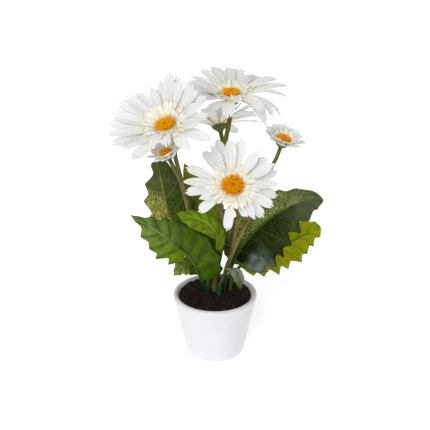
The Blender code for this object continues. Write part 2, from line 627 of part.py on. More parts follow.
def make_leaf(leaf, group):
    """A leaf in one body: a round stalk that opens into a toothed, folded blade."""
    draw = random.Random(leaf.seed)
    foot = Vector((leaf.foot[0] * MM, leaf.foot[1] * MM, COLLAR))
    blade_stations = 2 * leaf.teeth + 2
    last = PATH_SAMPLES - 1
    places, directions = smooth_path([foot] + [Vector(point) * MM for point in leaf.route], PATH_SAMPLES)
    directions[0] = Vector((0, 0, 1))
    first = round(leaf.blade_start * last)
    sides = blade_frames(leaf, directions, first)

    rings = []
    stalk = [(Vector((foot.x, foot.y, ROOT_DEPTH)), 0)]
    stalk += [(places[index], index) for index in
              (round(first * k / PETIOLE_STATIONS) for k in range(PETIOLE_STATIONS))]
    for place, index in stalk:
        side, normal = sides[index], sides[index].cross(directions[index])
        angles = [math.pi * 0.9 - math.tau * k / SECTION_POINTS for k in range(SECTION_POINTS)]
        rings.append([place + (side * math.cos(angle) + normal * math.sin(angle)) * PETIOLE_RADIUS
                      for angle in angles])

    for k in range(blade_stations + 1):
        shift = draw.uniform(-TOOTH_SHIFT, TOOTH_SHIFT) if 0 < k < blade_stations else 0.0
        share = (k + shift) / blade_stations
        index = first + round((last - first) * share)
        place, side, direction = places[index], sides[index], directions[index]
        normal = side.cross(direction)
        halves, waves = [], []
        for number, (full, cut) in enumerate(zip(leaf.half_widths, leaf.cut)):
            notch = cut * draw.uniform(0.3, 1.3)
            if k % 2:
                notch = cut * TOOTH_SIZES * draw.uniform(-1, 1)
            half = full * MM * blade_outline(leaf, number, 0.03 + 0.965 * share)
            narrowest = PETIOLE_RADIUS + (BLADE_THICKNESS - PETIOLE_RADIUS) * share
            halves.append(max(narrowest, half * (1 - notch)))
            waves.append(leaf.wave * full * MM * draw.uniform(-1, 1))
        upper, lower = [], []
        for across in ACROSS:
            edge = 0 if across < 0 else 1
            half, out = halves[edge], abs(across)
            rise = half * (leaf.fold * out - leaf.curl * out * out)
            rise += waves[edge] * out * out * min(1.0, half / FULL_WAVE_WIDTH)
            ahead = half * out * (TOOTH_LEAN * share - leaf.sweep[edge] * (1 - share) ** 2)
            middle = place + side * half * across + direction * ahead + normal * rise
            thick = BLADE_THICKNESS + (0.0 if across else (RIB_THICKNESS - BLADE_THICKNESS) * (1 - share))
            upper.append(middle + normal * BLADE_THICKNESS * 0.5)
            lower.append(middle - normal * (thick - BLADE_THICKNESS * 0.5))
        rings.append(upper + lower[::-1])
    bm = bmesh.new()
    loft(bm, rings)
    return add_object(leaf.name, bm, group, leaf.colour)


def make_young_leaves(group):
    """A clump of narrow young leaves, still closed, on one short foot."""
    foot = Vector((CLUMP_FOOT[0] * MM, CLUMP_FOOT[1] * MM, 0.0))
    right, back = Vector((1, 0, 0)), Vector((0, 1, 0))
    bm = bmesh.new()
    loft(bm, [ring_about(foot + Vector((0, 0, height)), right, back, [CLUMP_RADIUS * share] * CLUMP_SIDES)
              for height, share in CLUMP_PROFILE])
    clump = add_object("young_leaves", bm, group, "young")
    spears = collection("spears")
    for number, (x, y, lean_x, lean_y, tall) in enumerate(YOUNG_LEAVES):
        bm = bmesh.new()
        start = foot + Vector((x * MM, y * MM, COLLAR - 6 * MM))
        lean = Vector((lean_x, lean_y, tall)) * MM
        loft(bm, [ring_about(start + lean * share, right, back, [radius * MM] * SPEAR_SIDES)
                  for share, radius in SPEAR_PROFILE])
        add_object(f"spear_{number}", bm, spears)
    fuse(clump, spears, "spears")
    return clump


# ---------------------------------------------------------------- assembly

def main():
    """Build every piece in its own node."""
    clear_scene()
    plant = collection("potted_gerbera")
    cutters = collection("cutters")
    made = [make_pot(plant), make_soil(plant, cutters), make_young_leaves(plant)]
    for bloom in BLOOMS:
        made += [make_stem(bloom, plant), make_petals(bloom, plant), make_disc(bloom, plant)]
    made += [make_leaf(leaf, plant) for leaf in LEAVES]
    for item in made:
        item.data.shade_smooth()
        item.data.set_sharp_from_angle(angle=math.radians(35))


main()
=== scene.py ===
"""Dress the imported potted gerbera: layered petals, florets, veined leaves, peat and glaze.

Metres, +Z up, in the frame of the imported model.  The plant's layout repeats the named
values of its source, in millimetres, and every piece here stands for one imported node.
"""

import logging
import math
import random
from collections.abc import Callable
from dataclasses import dataclass
from enum import Enum

import bmesh
import bpy
import numpy as np
from mathutils import Matrix, Vector, noise

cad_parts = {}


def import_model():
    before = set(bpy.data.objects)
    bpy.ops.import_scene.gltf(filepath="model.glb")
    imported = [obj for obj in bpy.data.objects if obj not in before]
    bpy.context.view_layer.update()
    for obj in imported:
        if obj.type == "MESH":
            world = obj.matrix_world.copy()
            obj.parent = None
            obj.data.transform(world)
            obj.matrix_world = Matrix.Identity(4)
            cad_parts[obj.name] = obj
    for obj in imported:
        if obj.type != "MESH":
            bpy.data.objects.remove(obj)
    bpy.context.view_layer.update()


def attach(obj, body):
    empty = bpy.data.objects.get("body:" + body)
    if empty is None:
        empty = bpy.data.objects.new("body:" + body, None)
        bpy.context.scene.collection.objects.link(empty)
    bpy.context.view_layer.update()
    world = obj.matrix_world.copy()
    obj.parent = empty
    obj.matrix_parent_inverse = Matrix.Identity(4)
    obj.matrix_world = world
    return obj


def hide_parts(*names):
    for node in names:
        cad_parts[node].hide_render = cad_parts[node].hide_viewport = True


log = logging.getLogger("potted_gerbera")

MM = 0.001

Pair = tuple[float, float]
Triple = tuple[float, float, float]
Shape = Callable[[np.ndarray, np.ndarray], np.ndarray]
Verts = list[bmesh.types.BMVert]
Socket = bpy.types.NodeSocket
Value = Socket | float | str | tuple[float, ...]  # a link, a number, a hex colour or a vector

# How near two vertices are joined, in the units of the mesh, and how near a turn is to a seam
WELD = 1e-7
TURNED_WELD = 1e-6
SEAM = 1e-9

# Numbers of the Mix node's colour sockets
MIX_SHARE, MIX_FIRST, MIX_SECOND, MIX_RESULT = 0, 6, 7, 2

# Pot and soil
POT_HEIGHT = 70 * MM
RIM_RADIUS = 45 * MM
FOOT_RADIUS = 31 * MM
LIP_RADIUS = 2.6 * MM
FOOT_ROUND = 3.2 * MM
BODY_INSET = 0.9 * MM
WALL = 4.6 * MM
FLOOR = 6 * MM
SOIL_EDGE = 66.5 * MM
SOIL_MIDDLE = 71 * MM
SOIL_GAP = 0.3 * MM
ROOT_DEPTH = 48 * MM
COLLAR = 73 * MM

# Flower stems, cups and blooms, in mm on a full-size bloom
STEM_RADIUS = 2.4
NECK = 13.0
SMALL_BLOOM = 0.8
SLIM_STEM = 0.9
CUP_PROFILE = ((0.0, 2.4), (2.0, 3.4), (4.5, 6.6), (6.6, 8.6), (8.0, 9.6), (9.0, 9.4))
ROOTS = ((10.9, 11.2), (12.1, 11.3))  # height and radius where each row of long petals starts
CORE_PROFILE = ((0.0, 0.25, 0.5, 0.625, 1.0),  # shares of the way up, then radii, then heights
                (9.2, 10.7, 10.9, 9.4, 4.5), (9.2, 10.6, 13.2, 14.6, 15.0))
BRACT_RINGS = ((0.6, 6.0, 2.6), (2.6, 8.6, 3.0), (4.6, 10.6, 2.9))  # foot, tip and width
DISC_BASE = 13.9
DISC_RIM = 14.9
DISC_RADIUS = 10.2
DISC_HEIGHT = 4.0
DISC_MIDDLE = 17.0
GOLDEN_TURN = 3 - math.sqrt(5)  # share of half a turn from one floret to the next
DISC_SPREADS = {"left": (1.05, 0.7), "top": (0.84, 0.72), "front": (1.09, 1.09)}  # across and up
PLAIN_NICK = 0.1              # share of a petal's length that the deeper nick splits
NICKS = {"left": 0.17, "top": 0.17, "front": 0.12, "back": 0.16}  # the same, by bloom
NICK_WIDTH = 0.13
NICK_PLACES = ((0.24, 1.0), (-0.45, 0.7))  # place across the tip and share of the depth
ALIKE = (0, 1, 0, 0)          # turn, length, lift and droop of a petal that keeps to its row
CROWDING = 15                 # lift in degrees of a stray petal that leaves no room for fringe
PETAL_CUP = 0.22
PETAL_WIDTHS = ((0.0, 0.26), (0.28, 0.68), (0.45, 0.9), (0.6, 1.0), (0.76, 0.96), (0.9, 0.83),
                (1.0, 0.56))
BEND_STEPS = 32

# Leaves
PETIOLE_RADIUS = 1.75 * MM
BLADE_THICKNESS = 0.7 * MM
PATH_SAMPLES = 200
FULL_WAVE_WIDTH = 8 * MM
TOOTH_SHIFT = 0.3
TOOTH_SIZES = 0.25
NOTCH_SIZES = (0.3, 1.3)
TOOTH_LEAN = 0.25
FACE_TURN = 0.6
VEIN_LEAN = 1.7               # stations that a side vein climbs between midrib and tooth
PLAIN_QUILTING = 0.5 * MM     # how far a blade swells up between its side veins
NOTCHES = {"leaf_low_right": 0.85}  # depth of the notches, where they are shallower
QUILTING = {"leaf_front_left": 1.7 * MM, "leaf_mid_left": 1.1 * MM, "leaf_low_right": 1.2 * MM,
            "leaf_low_left": 1.0 * MM, "leaf_right": 0.7 * MM}


# ---------------------------------------------------------------- layout of the plant

@dataclass(frozen=True)
class Row:
    """One ring of petals: sizes in mm, angles in degrees."""
    length: float
    width: float
    lift: float
    droop: float


@dataclass(frozen=True)
class Bloom:
    """A bloom and its stem: places in mm, sides as angles counted from the right-hand side."""
    name: str
    middle: Triple
    facing: Triple
    size: float
    petals: int
    rows: tuple[Row, ...]
    foot: Pair
    route: tuple[Triple, ...]
    swing: float = 0.0
    high_side: float = 90.0
    stretch: float = 0.0
    long_side: float = 0.0
    bend: float = 0.0
    bend_side: float = 0.0
    strays: tuple[tuple[float, ...], ...] = ()
    seed: int = 1


@dataclass(frozen=True)
class Leaf:
    """A leaf: its midrib in mm, where its upper side looks, and pairs for its two halves."""
    name: str
    foot: Pair
    route: tuple[Triple, ...]
    face: Triple
    half_widths: Pair
    blade_start: float
    teeth: int
    colour: "LeafColour"
    cut: Pair = (0.26, 0.26)
    fold: float = 0.25
    curl: float = 0.3
    wave: float = 0.06
    widest: Pair = (0.5, 0.5)
    late: Pair = (0.0, 0.0)
    taper: float = 0.4
    face_root: tuple[float, ...] = ()
    sweep: Pair = (0.0, 0.0)
    seed: int = 1


class LeafColour(Enum):
    """The named greens of the leaves, as in the record's material slots."""
    MID = "mid"
    BRIGHT = "bright"
    DARK = "dark"
    YELLOW = "yellow"


def full_rows(reach: float, width: float, lift: float, droop: float) -> tuple[Row, ...]:
    """Two rows of long petals and a short inner fringe."""
    return (Row(reach, width, lift, droop), Row(reach * 0.86, width * 0.92, lift + 14, droop),
            Row(9.0, 3.4, lift + 40, 6))


def small_rows(reach: float, width: float, lift: float) -> tuple[Row, ...]:
    """The same rows on a small bloom that is only half open."""
    return (Row(reach, width, lift, 4), Row(reach * 0.86, width * 0.92, lift + 16, 4),
            Row(5.0, 2.6, lift + 34, 0))


BLOOMS = (
    Bloom("left", (-49.1, -45.0, 282.6), (-0.33, -0.57, 0.75), 1.0, 13,
          full_rows(46.0, 11.5, 24, 8), (-4.5, 14.3), ((-14.1, 17.0, 95.0), (-18.2, 17.0, 123.4),
          (-28.5, 12.0, 168.1), (-37.0, 2.0, 210.5), (-41.0, -12.0, 238.0)), swing=9.0,
          high_side=300.0, stretch=0.08, long_side=130.0, strays=((0, 0, 1.04, -4, 5),
          (1, -2, 0.9, 1, -1), (2, -3, 0.93, -1, 2), (3, 3, 0.83, 1, -3), (4, 0, 0.97, 0, 1),
          (5, 5, 0.89, -1, 2), (6, -6, 1.09, -1, 1), (7, -5, 0.97, -5, 7), (8, -9, 0.94, -6, 8),
          (9, -5, 0.93, -6, 8), (10, -4, 0.99, 1, -1), (11, -11, 1.02, 6, -8), (12, -4, 1.1, 3, -5),
          (13, -7, 1.03, 7, -9), (14, -4, 1.12, 0, -1), (15, -6, 1.04, 7, -9),
          (16, -10, 1.17, 0, -1), (17, -3, 1.01, 4, -5), (18, 8, 0.9, 42, 34), (19, 0, 0, 0, 0),
          (20, 0, 0.9, 30, 34), (21, 0, 0, 0, 0), (22, -3, 1.07, -10, 12), (23, 2, 1.07, -7, 9),
          (24, -1, 1.08, -4, 5), (25, 0, 0.99, 1, -2)), seed=11),
    Bloom("top", (16.5, 30.0, 288.1), (0.04, -0.12, 0.99), 1.0, 13, full_rows(46.0, 11.5, 15, 16),
          (-1.3, 0.5), ((1.1, 2.0, 92.0), (5.3, 3.5, 113.0), (7.9, 6.0, 141.7), (6.3, 10.0, 166.7),
          (10.4, 22.0, 234.3)), swing=7.0, high_side=200.0, stretch=0.1, bend=22.0, bend_side=340.0,
          strays=((0, -1, 1.16, 5, -5), (1, 1, 1.08, 11, -16), (2, -3, 1.1, 6, -9),
          (3, 7, 0.98, 8, -10), (5, 3, 1.02, 4, -5), (6, 2, 1.01, 2, -2), (7, 1, 1.03, 4, -6),
          (8, -2, 1.01, 2, -3), (9, -5, 0.99, 5, -7), (10, 5, 1.13, -2, 0), (11, -2, 1.01, 0, -2),
          (12, 0, 0.97, 1, -1), (13, 0, 0.87, 6, -7), (14, 4, 0.89, 3, -3), (15, 4, 0.91, 5, -6),
          (17, 0, 0.96, 3, -3), (18, 0, 0, 0, 0), (19, -2, 0.92, 17, 10), (20, -2, 0.82, 43, 24),
          (21, 0, 0, 0, 0), (22, 0, 0.88, 20, 8), (23, 0, 0.89, 6, 10), (24, 0, 1.06, 3, 9),
          (25, 3, 0.95, 6, 4)), seed=12),
    Bloom("front", (17.8, -60.0, 223.7), (0.04, -0.61, 0.79), 1.0, 13, full_rows(38.0, 10.5, 5, 10),
          (10.0, 8.0), ((11.2, 9.0, 89.0), (18.2, 7.0, 114.3), (22.2, 0.0, 142.3),
          (24.3, -16.0, 169.8)), swing=20.0, stretch=0.08, long_side=90.0,
          strays=((0, -2, 1.01, -1, 2), (1, 2, 0.93, -1, 2), (2, -4, 1.12, -2, 1),
          (3, -2, 0.98, -2, 2), (4, -10, 1.03, -3, 4), (5, 3, 1.06, 1, -2), (6, 2, 1.15, 0, -1),
          (7, 2, 1.02, 0, 0), (8, 3, 1.13, -2, 1), (9, -2, 0.97, 0, 1), (10, 0, 0, 0, 0),
          (11, -5, 0.98, 0, -1), (12, 4, 1.11, -4, 4), (13, 0, 0.92, 0, 1), (14, 6, 0.79, 3, -3),
          (15, 0, 0.82, 1, 1), (16, 0, 0, 0, 0), (17, 0, 0, 0, 0), (18, 9, 1.17, -3, 2),
          (19, 0, 0, 0, 0), (20, 0, 0, 0, 0), (21, 2, 0.61, 4, -4), (22, -5, 0.93, -1, 2),
          (23, -3, 0.93, -3, 5), (24, -2, 1.13, -3, 2), (25, 1, 0.93, -1, 2)), seed=13),
    Bloom("back", (3.5, 70.0, 242.0), (-0.18, 0.58, 0.79), 0.85, 11, full_rows(32.0, 9.5, 22, 10),
          (3.0, 11.5), ((2.2, 17.0, 92.3), (7.0, 33.0, 155.5), (10.5, 46.0, 200.0)), swing=16.0,
          high_side=160.0, stretch=0.16, strays=((1, -1, 1.03, 0, 0), (2, -13, 1.26, 22, 1),
          (3, 4, 0.96, 1, 19), (20, 0, 1.03, 2, -3), (21, 0, 1.02, 0, 0)), seed=14),
    Bloom("right", (70.0, -10.0, 253.4), (0.29, -0.14, 0.95), 0.72, 11, small_rows(16.0, 7.4, 32),
          (4.3, 4.0), ((8.8, 2.0, 86.0), (19.1, -1.0, 119.1), (35.5, -6.0, 162.7),
          (53.0, -8.5, 212.0)), seed=15),
    Bloom("low", (-48.5, -51.5, 255.5), (-0.36, -0.2, 0.91), 0.62, 9, small_rows(13.5, 6.8, 36),
          (-4.6, 7.3), ((-14.0, 10.0, 97.5), (-18.6, 9.0, 128.6), (-28.1, -6.0, 174.3),
          (-36.4, -30.0, 219.0)), seed=16),
)

LEAVES = (
    Leaf("leaf_front_left", (-6.5, -6.5), ((-12.0, -11.0, 85.8), (-24.6, -24.0, 122.6),
         (-47.5, -42.0, 154.4), (-70.6, -54.0, 178.1), (-84.1, -58.0, 189.3)), (0.1, -0.8, 0.6),
         (25.0, 30.0), 0.14, 7, LeafColour.MID, cut=(0.36, 0.15), widest=(0.26, 0.3),
         late=(0.36, 0.0), taper=0.5, face_root=(0.15, -0.95, 0.1), sweep=(0.0, 0.5), seed=21),
    Leaf("leaf_mid_left", (-8.0, 1.0), ((-7.0, -1.0, 92.0), (0.5, -6.0, 119.2), (1.5, -13.5, 145.2),
         (-9.5, -21.0, 164.2), (-24.0, -29.0, 173.8), (-38.8, -35.0, 181.2)), (0.3, -0.8, 0.5),
         (13.0, 11.5), 0.26, 6, LeafColour.BRIGHT, cut=(0.08, 0.1), late=(0.35, 0.0), taper=0.3,
         seed=22),
    Leaf("leaf_tall_left", (-11.0, 17.0), ((-17.4, 24.0, 90.2), (-33.5, 29.0, 119.8),
         (-48.3, 32.0, 146.9), (-55.5, 34.0, 175.5), (-59.5, 38.0, 197.0), (-61.6, 44.0, 211.8)),
         (0.0, -0.9, 0.35), (24.0, 30.0), 0.2, 5, LeafColour.DARK, cut=(0.34, 0.2),
         widest=(0.42, 0.42), taper=0.25, seed=33),
    Leaf("leaf_tall_back", (-4.0, 22.5), ((-3.3, 30.0, 87.1), (-4.3, 41.0, 124.5),
         (-10.8, 50.0, 153.4), (-20.5, 54.0, 177.7), (-33.2, 56.0, 196.4)), (0.1, -0.9, 0.35),
         (24.0, 22.0), 0.22, 6, LeafColour.BRIGHT, cut=(0.18, 0.18), widest=(0.5, 0.36), taper=0.4,
         seed=24),
    Leaf("leaf_right", (16.5, 4.0), ((17.3, 12.0, 91.0), (26.4, 16.0, 113.1), (41.2, 15.0, 134.6),
         (67.0, 10.0, 160.9), (86.9, 10.0, 171.4), (102.2, 14.0, 174.2), (114.2, 18.0, 170.7)),
         (-0.1, -0.8, 0.6), (27.0, 43.0), 0.2, 6, LeafColour.DARK, cut=(0.12, 0.22),
         widest=(0.32, 0.24), taper=0.1, sweep=(0.0, 0.1), seed=25),
    Leaf("leaf_low_right", (17.0, 11.5), ((25.0, 21.0, 88.0), (51.1, 31.0, 98.0),
         (76.2, 38.0, 107.6), (98.1, 43.0, 118.0), (115.0, 47.0, 124.5)), (0.1, 0.95, 0.25),
         (31.0, 24.0), 0.22, 7, LeafColour.YELLOW, cut=(0.34, 0.2), widest=(0.42, 0.6), taper=0.1,
         seed=26),
    Leaf("leaf_small_front", (10.5, 0.5), ((11.8, -2.8, 90.4), (15.0, -7.8, 102.1),
         (20.5, -14.5, 105.5), (25.0, -21.0, 99.0), (27.0, -27.0, 88.0)), (0.4, -0.2, 0.9),
         (9.0, 9.0), 0.36, 4, LeafColour.DARK, cut=(0.15, 0.15), fold=0.1, curl=0.15, seed=27),
    Leaf("leaf_low_left", (-11.0, 9.5), ((-15.5, 10.0, 84.0), (-21.5, 7.0, 95.0),
         (-28.0, 3.0, 101.0), (-36.0, -2.0, 101.0), (-43.6, -7.0, 94.0)), (-0.2, -0.6, 0.78),
         (13.0, 11.0), 0.3, 4, LeafColour.MID, cut=(0.2, 0.16), seed=28),
    Leaf("leaf_back", (4.0, 19.5), ((4.0, 30.0, 86.0), (1.0, 48.0, 112.0), (-4.0, 70.0, 130.0),
         (-10.0, 90.0, 132.0), (-16.0, 106.0, 124.0)), (0.0, 0.1, 1.0), (19.0, 19.0), 0.25, 7,
         LeafColour.MID, seed=29),
    Leaf("leaf_back_right", (11.0, 16.0), ((17.0, 31.0, 92.0), (30.0, 48.0, 118.0),
         (47.0, 66.0, 134.0), (64.0, 82.0, 136.0)), (-0.2, -0.1, 1.0), (18.0, 18.0), 0.25, 6,
         LeafColour.DARK, seed=30),
)

CLUMP_FOOT = (4.3, -5.0)
CLUMP_RADIUS = 2.6
YOUNG_LEAVES = ((-0.8, 0.3, -1.2, 0.6, 15.0), (0.9, 0.7, 0.8, 0.2, 19.0),
                (0.2, -0.8, 3.4, -3.4, 32.0))  # where each starts, then its reach


# ---------------------------------------------------------------- curves and draws

def smooth_path(points: list[Vector], count: int) -> tuple[np.ndarray, np.ndarray]:
    """Sample a smooth curve evenly along its length.

    Args:
        points: The places that the curve passes through.
        count: How many samples to take.

    Returns:
        The places and the unit directions, one row for each sample.
    """
    knots = np.array(points, dtype=float)
    times = np.concatenate(([0.0], np.cumsum(np.linalg.norm(np.diff(knots, axis=0), axis=1))))
    slopes = np.gradient(knots, times, axis=0)
    at = np.linspace(0.0, times[-1], count)
    span = np.clip(np.searchsorted(times, at, side="right") - 1, 0, len(times) - 2)
    width = times[span + 1] - times[span]
    s = (at - times[span]) / width
    s2, s3 = s * s, s * s * s
    places = ((2 * s3 - 3 * s2 + 1)[:, None] * knots[span]
              + (s3 - 2 * s2 + s)[:, None] * width[:, None] * slopes[span]
              + (3 * s2 - 2 * s3)[:, None] * knots[span + 1]
              + (s3 - s2)[:, None] * width[:, None] * slopes[span + 1])
    directions = np.gradient(places, axis=0)
    return places, directions / np.linalg.norm(directions, axis=1)[:, None]


def carried_sides(directions: np.ndarray, start: np.ndarray) -> np.ndarray:
    """Carry a sideways direction along a curve without twisting it.

    Args:
        directions: Unit directions of the curve.
        start: The sideways direction to begin from.

    Returns:
        One unit sideways direction for each sample, square to the curve.
    """
    sides, side = [], start
    for direction in directions:
        side = side - direction * side.dot(direction)
        side = side / np.linalg.norm(side)
        sides.append(side)
    return np.array(sides)


def sampled(table: np.ndarray, at: np.ndarray) -> np.ndarray:
    """Read a table of vectors at fractional row numbers, by straight interpolation."""
    rows = np.arange(len(table))
    return np.stack([np.interp(at, rows, table[:, axis]) for axis in range(3)], axis=1)


def turned_places(radius: np.ndarray, angle: np.ndarray, height: np.ndarray) -> np.ndarray:
    """Places from radii, angles and heights about +Z, one row for each."""
    return np.stack((radius * np.cos(angle), radius * np.sin(angle), height), axis=1)


def route_of(part: Bloom | Leaf) -> list[Vector]:
    """Knots of a stem or a midrib in metres, from its foot at the soil."""
    foot = Vector((part.foot[0] * MM, part.foot[1] * MM, COLLAR))
    return [foot] + [Vector(point) * MM for point in part.route]


def sway(draw: random.Random, spread: float) -> float:
    """Draw a number as far as the spread to either side of 0."""
    return draw.uniform(-spread, spread)


# ---------------------------------------------------------------- meshes

class Body:
    """A mesh in the making, with the point attributes that the finishes read.

    Its attributes are "across" (from -1 to 1), "along" (from root to tip) and "tone".
    """

    def __init__(self) -> None:
        """Start an empty mesh."""
        self.bm = bmesh.new()
        self.across, self.along, self.tone = map(self.layer, ("across", "along", "tone"))

    def layer(self, name: str) -> bmesh.types.BMLayerItem:
        """Add a point attribute."""
        return self.bm.verts.layers.float.new(name)

    def label(self, verts: Verts, across: np.ndarray, along: np.ndarray, tone: np.ndarray) -> None:
        """Write the three attributes of some vertices.

        Args:
            verts: The vertices.
            across: One value for each, from -1 to 1.
            along: One value for each, from root to tip.
            tone: One value for each, from 0 to 1.
        """
        for vert, *values in zip(verts, across, along, tone):
            for layer, value in zip((self.across, self.along, self.tone), values):
                vert[layer] = value

    def weld(self, verts: Verts) -> None:
        """Join the vertices that share a place."""
        merged = bmesh.ops.find_doubles(self.bm, verts=verts, dist=WELD)["targetmap"]
        bmesh.ops.weld_verts(self.bm, targetmap=merged)

    def sheet(self, columns: int, rows: int, shape: Shape, tone: float = 0.5) -> Verts:
        """Add an open sheet.

        Args:
            columns: Faces across.
            rows: Faces along.
            shape: Gives the places for arrays of across (-1 to 1) and along (0 to 1).
            tone: The sheet's own shade, from 0 to 1.

        Returns:
            The sheet's vertices.
        """
        verts = bmesh.ops.create_grid(self.bm, x_segments=columns, y_segments=rows,
                                      size=1.0)["verts"]
        across = np.array([vert.co.x for vert in verts])
        along = np.array([vert.co.y for vert in verts]) * 0.5 + 0.5
        self.label(verts, across, along, np.full(len(verts), tone))
        for vert, place in zip(verts, shape(across, along)):
            vert.co = place
        return verts

    def sleeve(self, columns: int, rows: int, shape: Shape, tone: float = 0.5,
               capped: bool = True) -> Verts:
        """Add a sleeve: a sheet whose two sides meet.

        Args:
            columns: Faces round the sleeve.
            rows: Faces along.
            shape: Gives the places for arrays of turn (-1 to 1, once round) and along.
            tone: The sleeve's own shade, from 0 to 1.
            capped: Whether both ends are filled.

        Returns:
            The sleeve's vertices.
        """
        verts = self.sheet(columns, rows, shape, tone)
        self.weld(verts)
        verts = [vert for vert in verts if vert.is_valid]
        if capped:
            ends = {edge for vert in verts for edge in vert.link_edges if edge.is_boundary}
            bmesh.ops.holes_fill(self.bm, edges=list(ends), sides=0)
        return verts

    def turn(self, profile: list[Pair], steps: int) -> None:
        """Spin a profile once round +Z, closed on the axis.

        Args:
            profile: The outline as pairs of radius and height, with both its ends on the axis.
            steps: Sides of the turned form.
        """
        verts = [self.bm.verts.new((radius, 0.0, height)) for radius, height in profile]
        edges = [self.bm.edges.new(pair) for pair in zip(verts, verts[1:])]
        bmesh.ops.spin(self.bm, geom=verts + edges, cent=(0, 0, 0), axis=(0, 0, 1), angle=math.tau,
                       steps=steps, use_merge=True, use_duplicate=False)
        bmesh.ops.remove_doubles(self.bm, verts=self.bm.verts, dist=TURNED_WELD)

    def move(self, matrix: Matrix, verts: Verts | None = None) -> None:
        """Move some vertices by a matrix, or all of them."""
        bmesh.ops.transform(self.bm, matrix=matrix,
                            verts=self.bm.verts if verts is None else verts)

    def piece(self, name: str, node: str, slot: str, finishes: list[bpy.types.Material],
              thickness: float = 0.0) -> None:
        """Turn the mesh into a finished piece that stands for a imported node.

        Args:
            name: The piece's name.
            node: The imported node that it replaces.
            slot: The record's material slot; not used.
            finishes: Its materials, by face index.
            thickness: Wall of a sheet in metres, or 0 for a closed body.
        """
        if not thickness:
            bmesh.ops.recalc_face_normals(self.bm, faces=self.bm.faces)
        mesh = bpy.data.meshes.new(name)
        self.bm.to_mesh(mesh)
        self.bm.free()
        for finish in finishes:
            mesh.materials.append(finish)
        mesh.shade_smooth()
        made = bpy.data.objects.new(name, mesh)
        bpy.context.scene.collection.objects.link(made)
        if thickness:
            wall = made.modifiers.new("thickness", "SOLIDIFY")
            wall.thickness = thickness
            wall.offset = 0.0
        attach(made, "root")
        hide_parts(node)
        log.info("%s: %d faces", name, len(mesh.polygons))


# ---------------------------------------------------------------- finishes

def linear(code: str) -> tuple[float, ...]:
    """Turn an sRGB hex colour into linear light.

    Args:
        code: Six hex digits.

    Returns:
        Red, green, blue and alpha.
    """
    parts = [int(code[k:k + 2], 16) / 255 for k in (0, 2, 4)]
    return (*(part / 12.92 if part <= 0.04045 else ((part + 0.055) / 1.055) ** 2.4
              for part in parts), 1.0)


class Shader:
    """A material in the making, with a short method for each node that the finishes use."""

    def __init__(self, name: str, settings: dict[str, Value]) -> None:
        """Start a material on the Principled shader.

        Args:
            name: The material's name.
            settings: Values of the shader's inputs.
        """
        self.material = bpy.data.materials.new(name)
        self.material.use_nodes = True
        self.tree = self.material.node_tree
        self.done(settings)

    def feed(self, node: bpy.types.Node, inputs: dict[str | int, Value]) -> None:
        """Link or set a node's inputs.

        Args:
            node: The node.
            inputs: By name or number, the output that feeds it, or its value.
        """
        for key, value in inputs.items():
            if isinstance(value, Socket):
                self.tree.links.new(value, node.inputs[key])
            else:
                node.inputs[key].default_value = linear(value) if isinstance(value, str) else value

    def node(self, kind: str, inputs: dict[str | int, Value], **settings: str) -> bpy.types.Node:
        """Add a node.

        Args:
            kind: The node's type, without "ShaderNode".
            inputs: By name or number, the output that feeds it, or its value.
            settings: The node's own settings.

        Returns:
            The new node.
        """
        made = self.tree.nodes.new(f"ShaderNode{kind}")
        for key, value in settings.items():
            setattr(made, key, value)
        self.feed(made, inputs)
        return made

    def place(self) -> Socket:
        """Where a point stands, in metres."""
        return self.node("TexCoord", {}).outputs["Object"]

    def attribute(self, name: str) -> Socket:
        """One of the mesh's point attributes."""
        return self.node("Attribute", {}, attribute_name=name).outputs["Fac"]

    def calc(self, operation: str, *values: Value) -> Socket:
        """A sum on up to three values."""
        return self.node("Math", dict(enumerate(values)), operation=operation).outputs[0]

    def times(self, first: Value, second: Value) -> Socket:
        """One value times another."""
        return self.calc("MULTIPLY", first, second)

    def ranged(self, value: Socket, low: float, high: float, to_low: float = 0.0,
               to_high: float = 1.0) -> Socket:
        """Bring a value from one range to another, held at both ends.

        Args:
            value: The value.
            low: Where its range starts; it may be above the end.
            high: Where its range ends.
            to_low: What the start becomes.
            to_high: What the end becomes.

        Returns:
            The new value.
        """
        return self.node("MapRange", {"Value": value, "From Min": low, "From Max": high,
                                      "To Min": to_low, "To Max": to_high}).outputs[0]

    def mix(self, share: Socket, first: Value, second: Value) -> Socket:
        """Mix two colours by the second one's share."""
        return self.node("Mix", {MIX_SHARE: share, MIX_FIRST: first, MIX_SECOND: second},
                         data_type="RGBA").outputs[MIX_RESULT]

    def join(self, x: Value, y: Value, z: Value = 0.0) -> Socket:
        """Make a vector of three values."""
        return self.node("CombineXYZ", {"X": x, "Y": y, "Z": z}).outputs[0]

    def noise(self, place: Socket, scale: float, detail: float = 2.0) -> Socket:
        """Cloudy noise, from 0 to 1."""
        return self.node("TexNoise", {"Vector": place, "Scale": scale,
                                      "Detail": detail}).outputs["Fac"]

    def ramp(self, value: Socket, *stops: tuple[float, str]) -> Socket:
        """Run a value through colours.

        Args:
            value: The value, from 0 to 1.
            stops: Where each colour stands, and its hex code.

        Returns:
            The colour.
        """
        made = self.node("ValToRGB", {"Fac": value})
        elements = made.color_ramp.elements
        while len(elements) < len(stops):
            elements.new(1.0)
        for element, (place, code) in zip(elements, stops):
            element.position = place
            element.color = linear(code)
        return made.outputs["Color"]

    def bump(self, height: Socket, strength: float, depth: float) -> Socket:
        """Tilt the surface by a height; the depth is in metres."""
        return self.node("Bump", {"Height": height, "Strength": strength,
                                  "Distance": depth}).outputs["Normal"]

    def done(self, inputs: dict[str | int, Value]) -> bpy.types.Material:
        """Feed the Principled shader's inputs and hand over the material."""
        self.feed(self.tree.nodes["Principled BSDF"], inputs)
        return self.material


@dataclass(frozen=True)
class Finish:
    """What every finish has: its material's name."""
    name: str


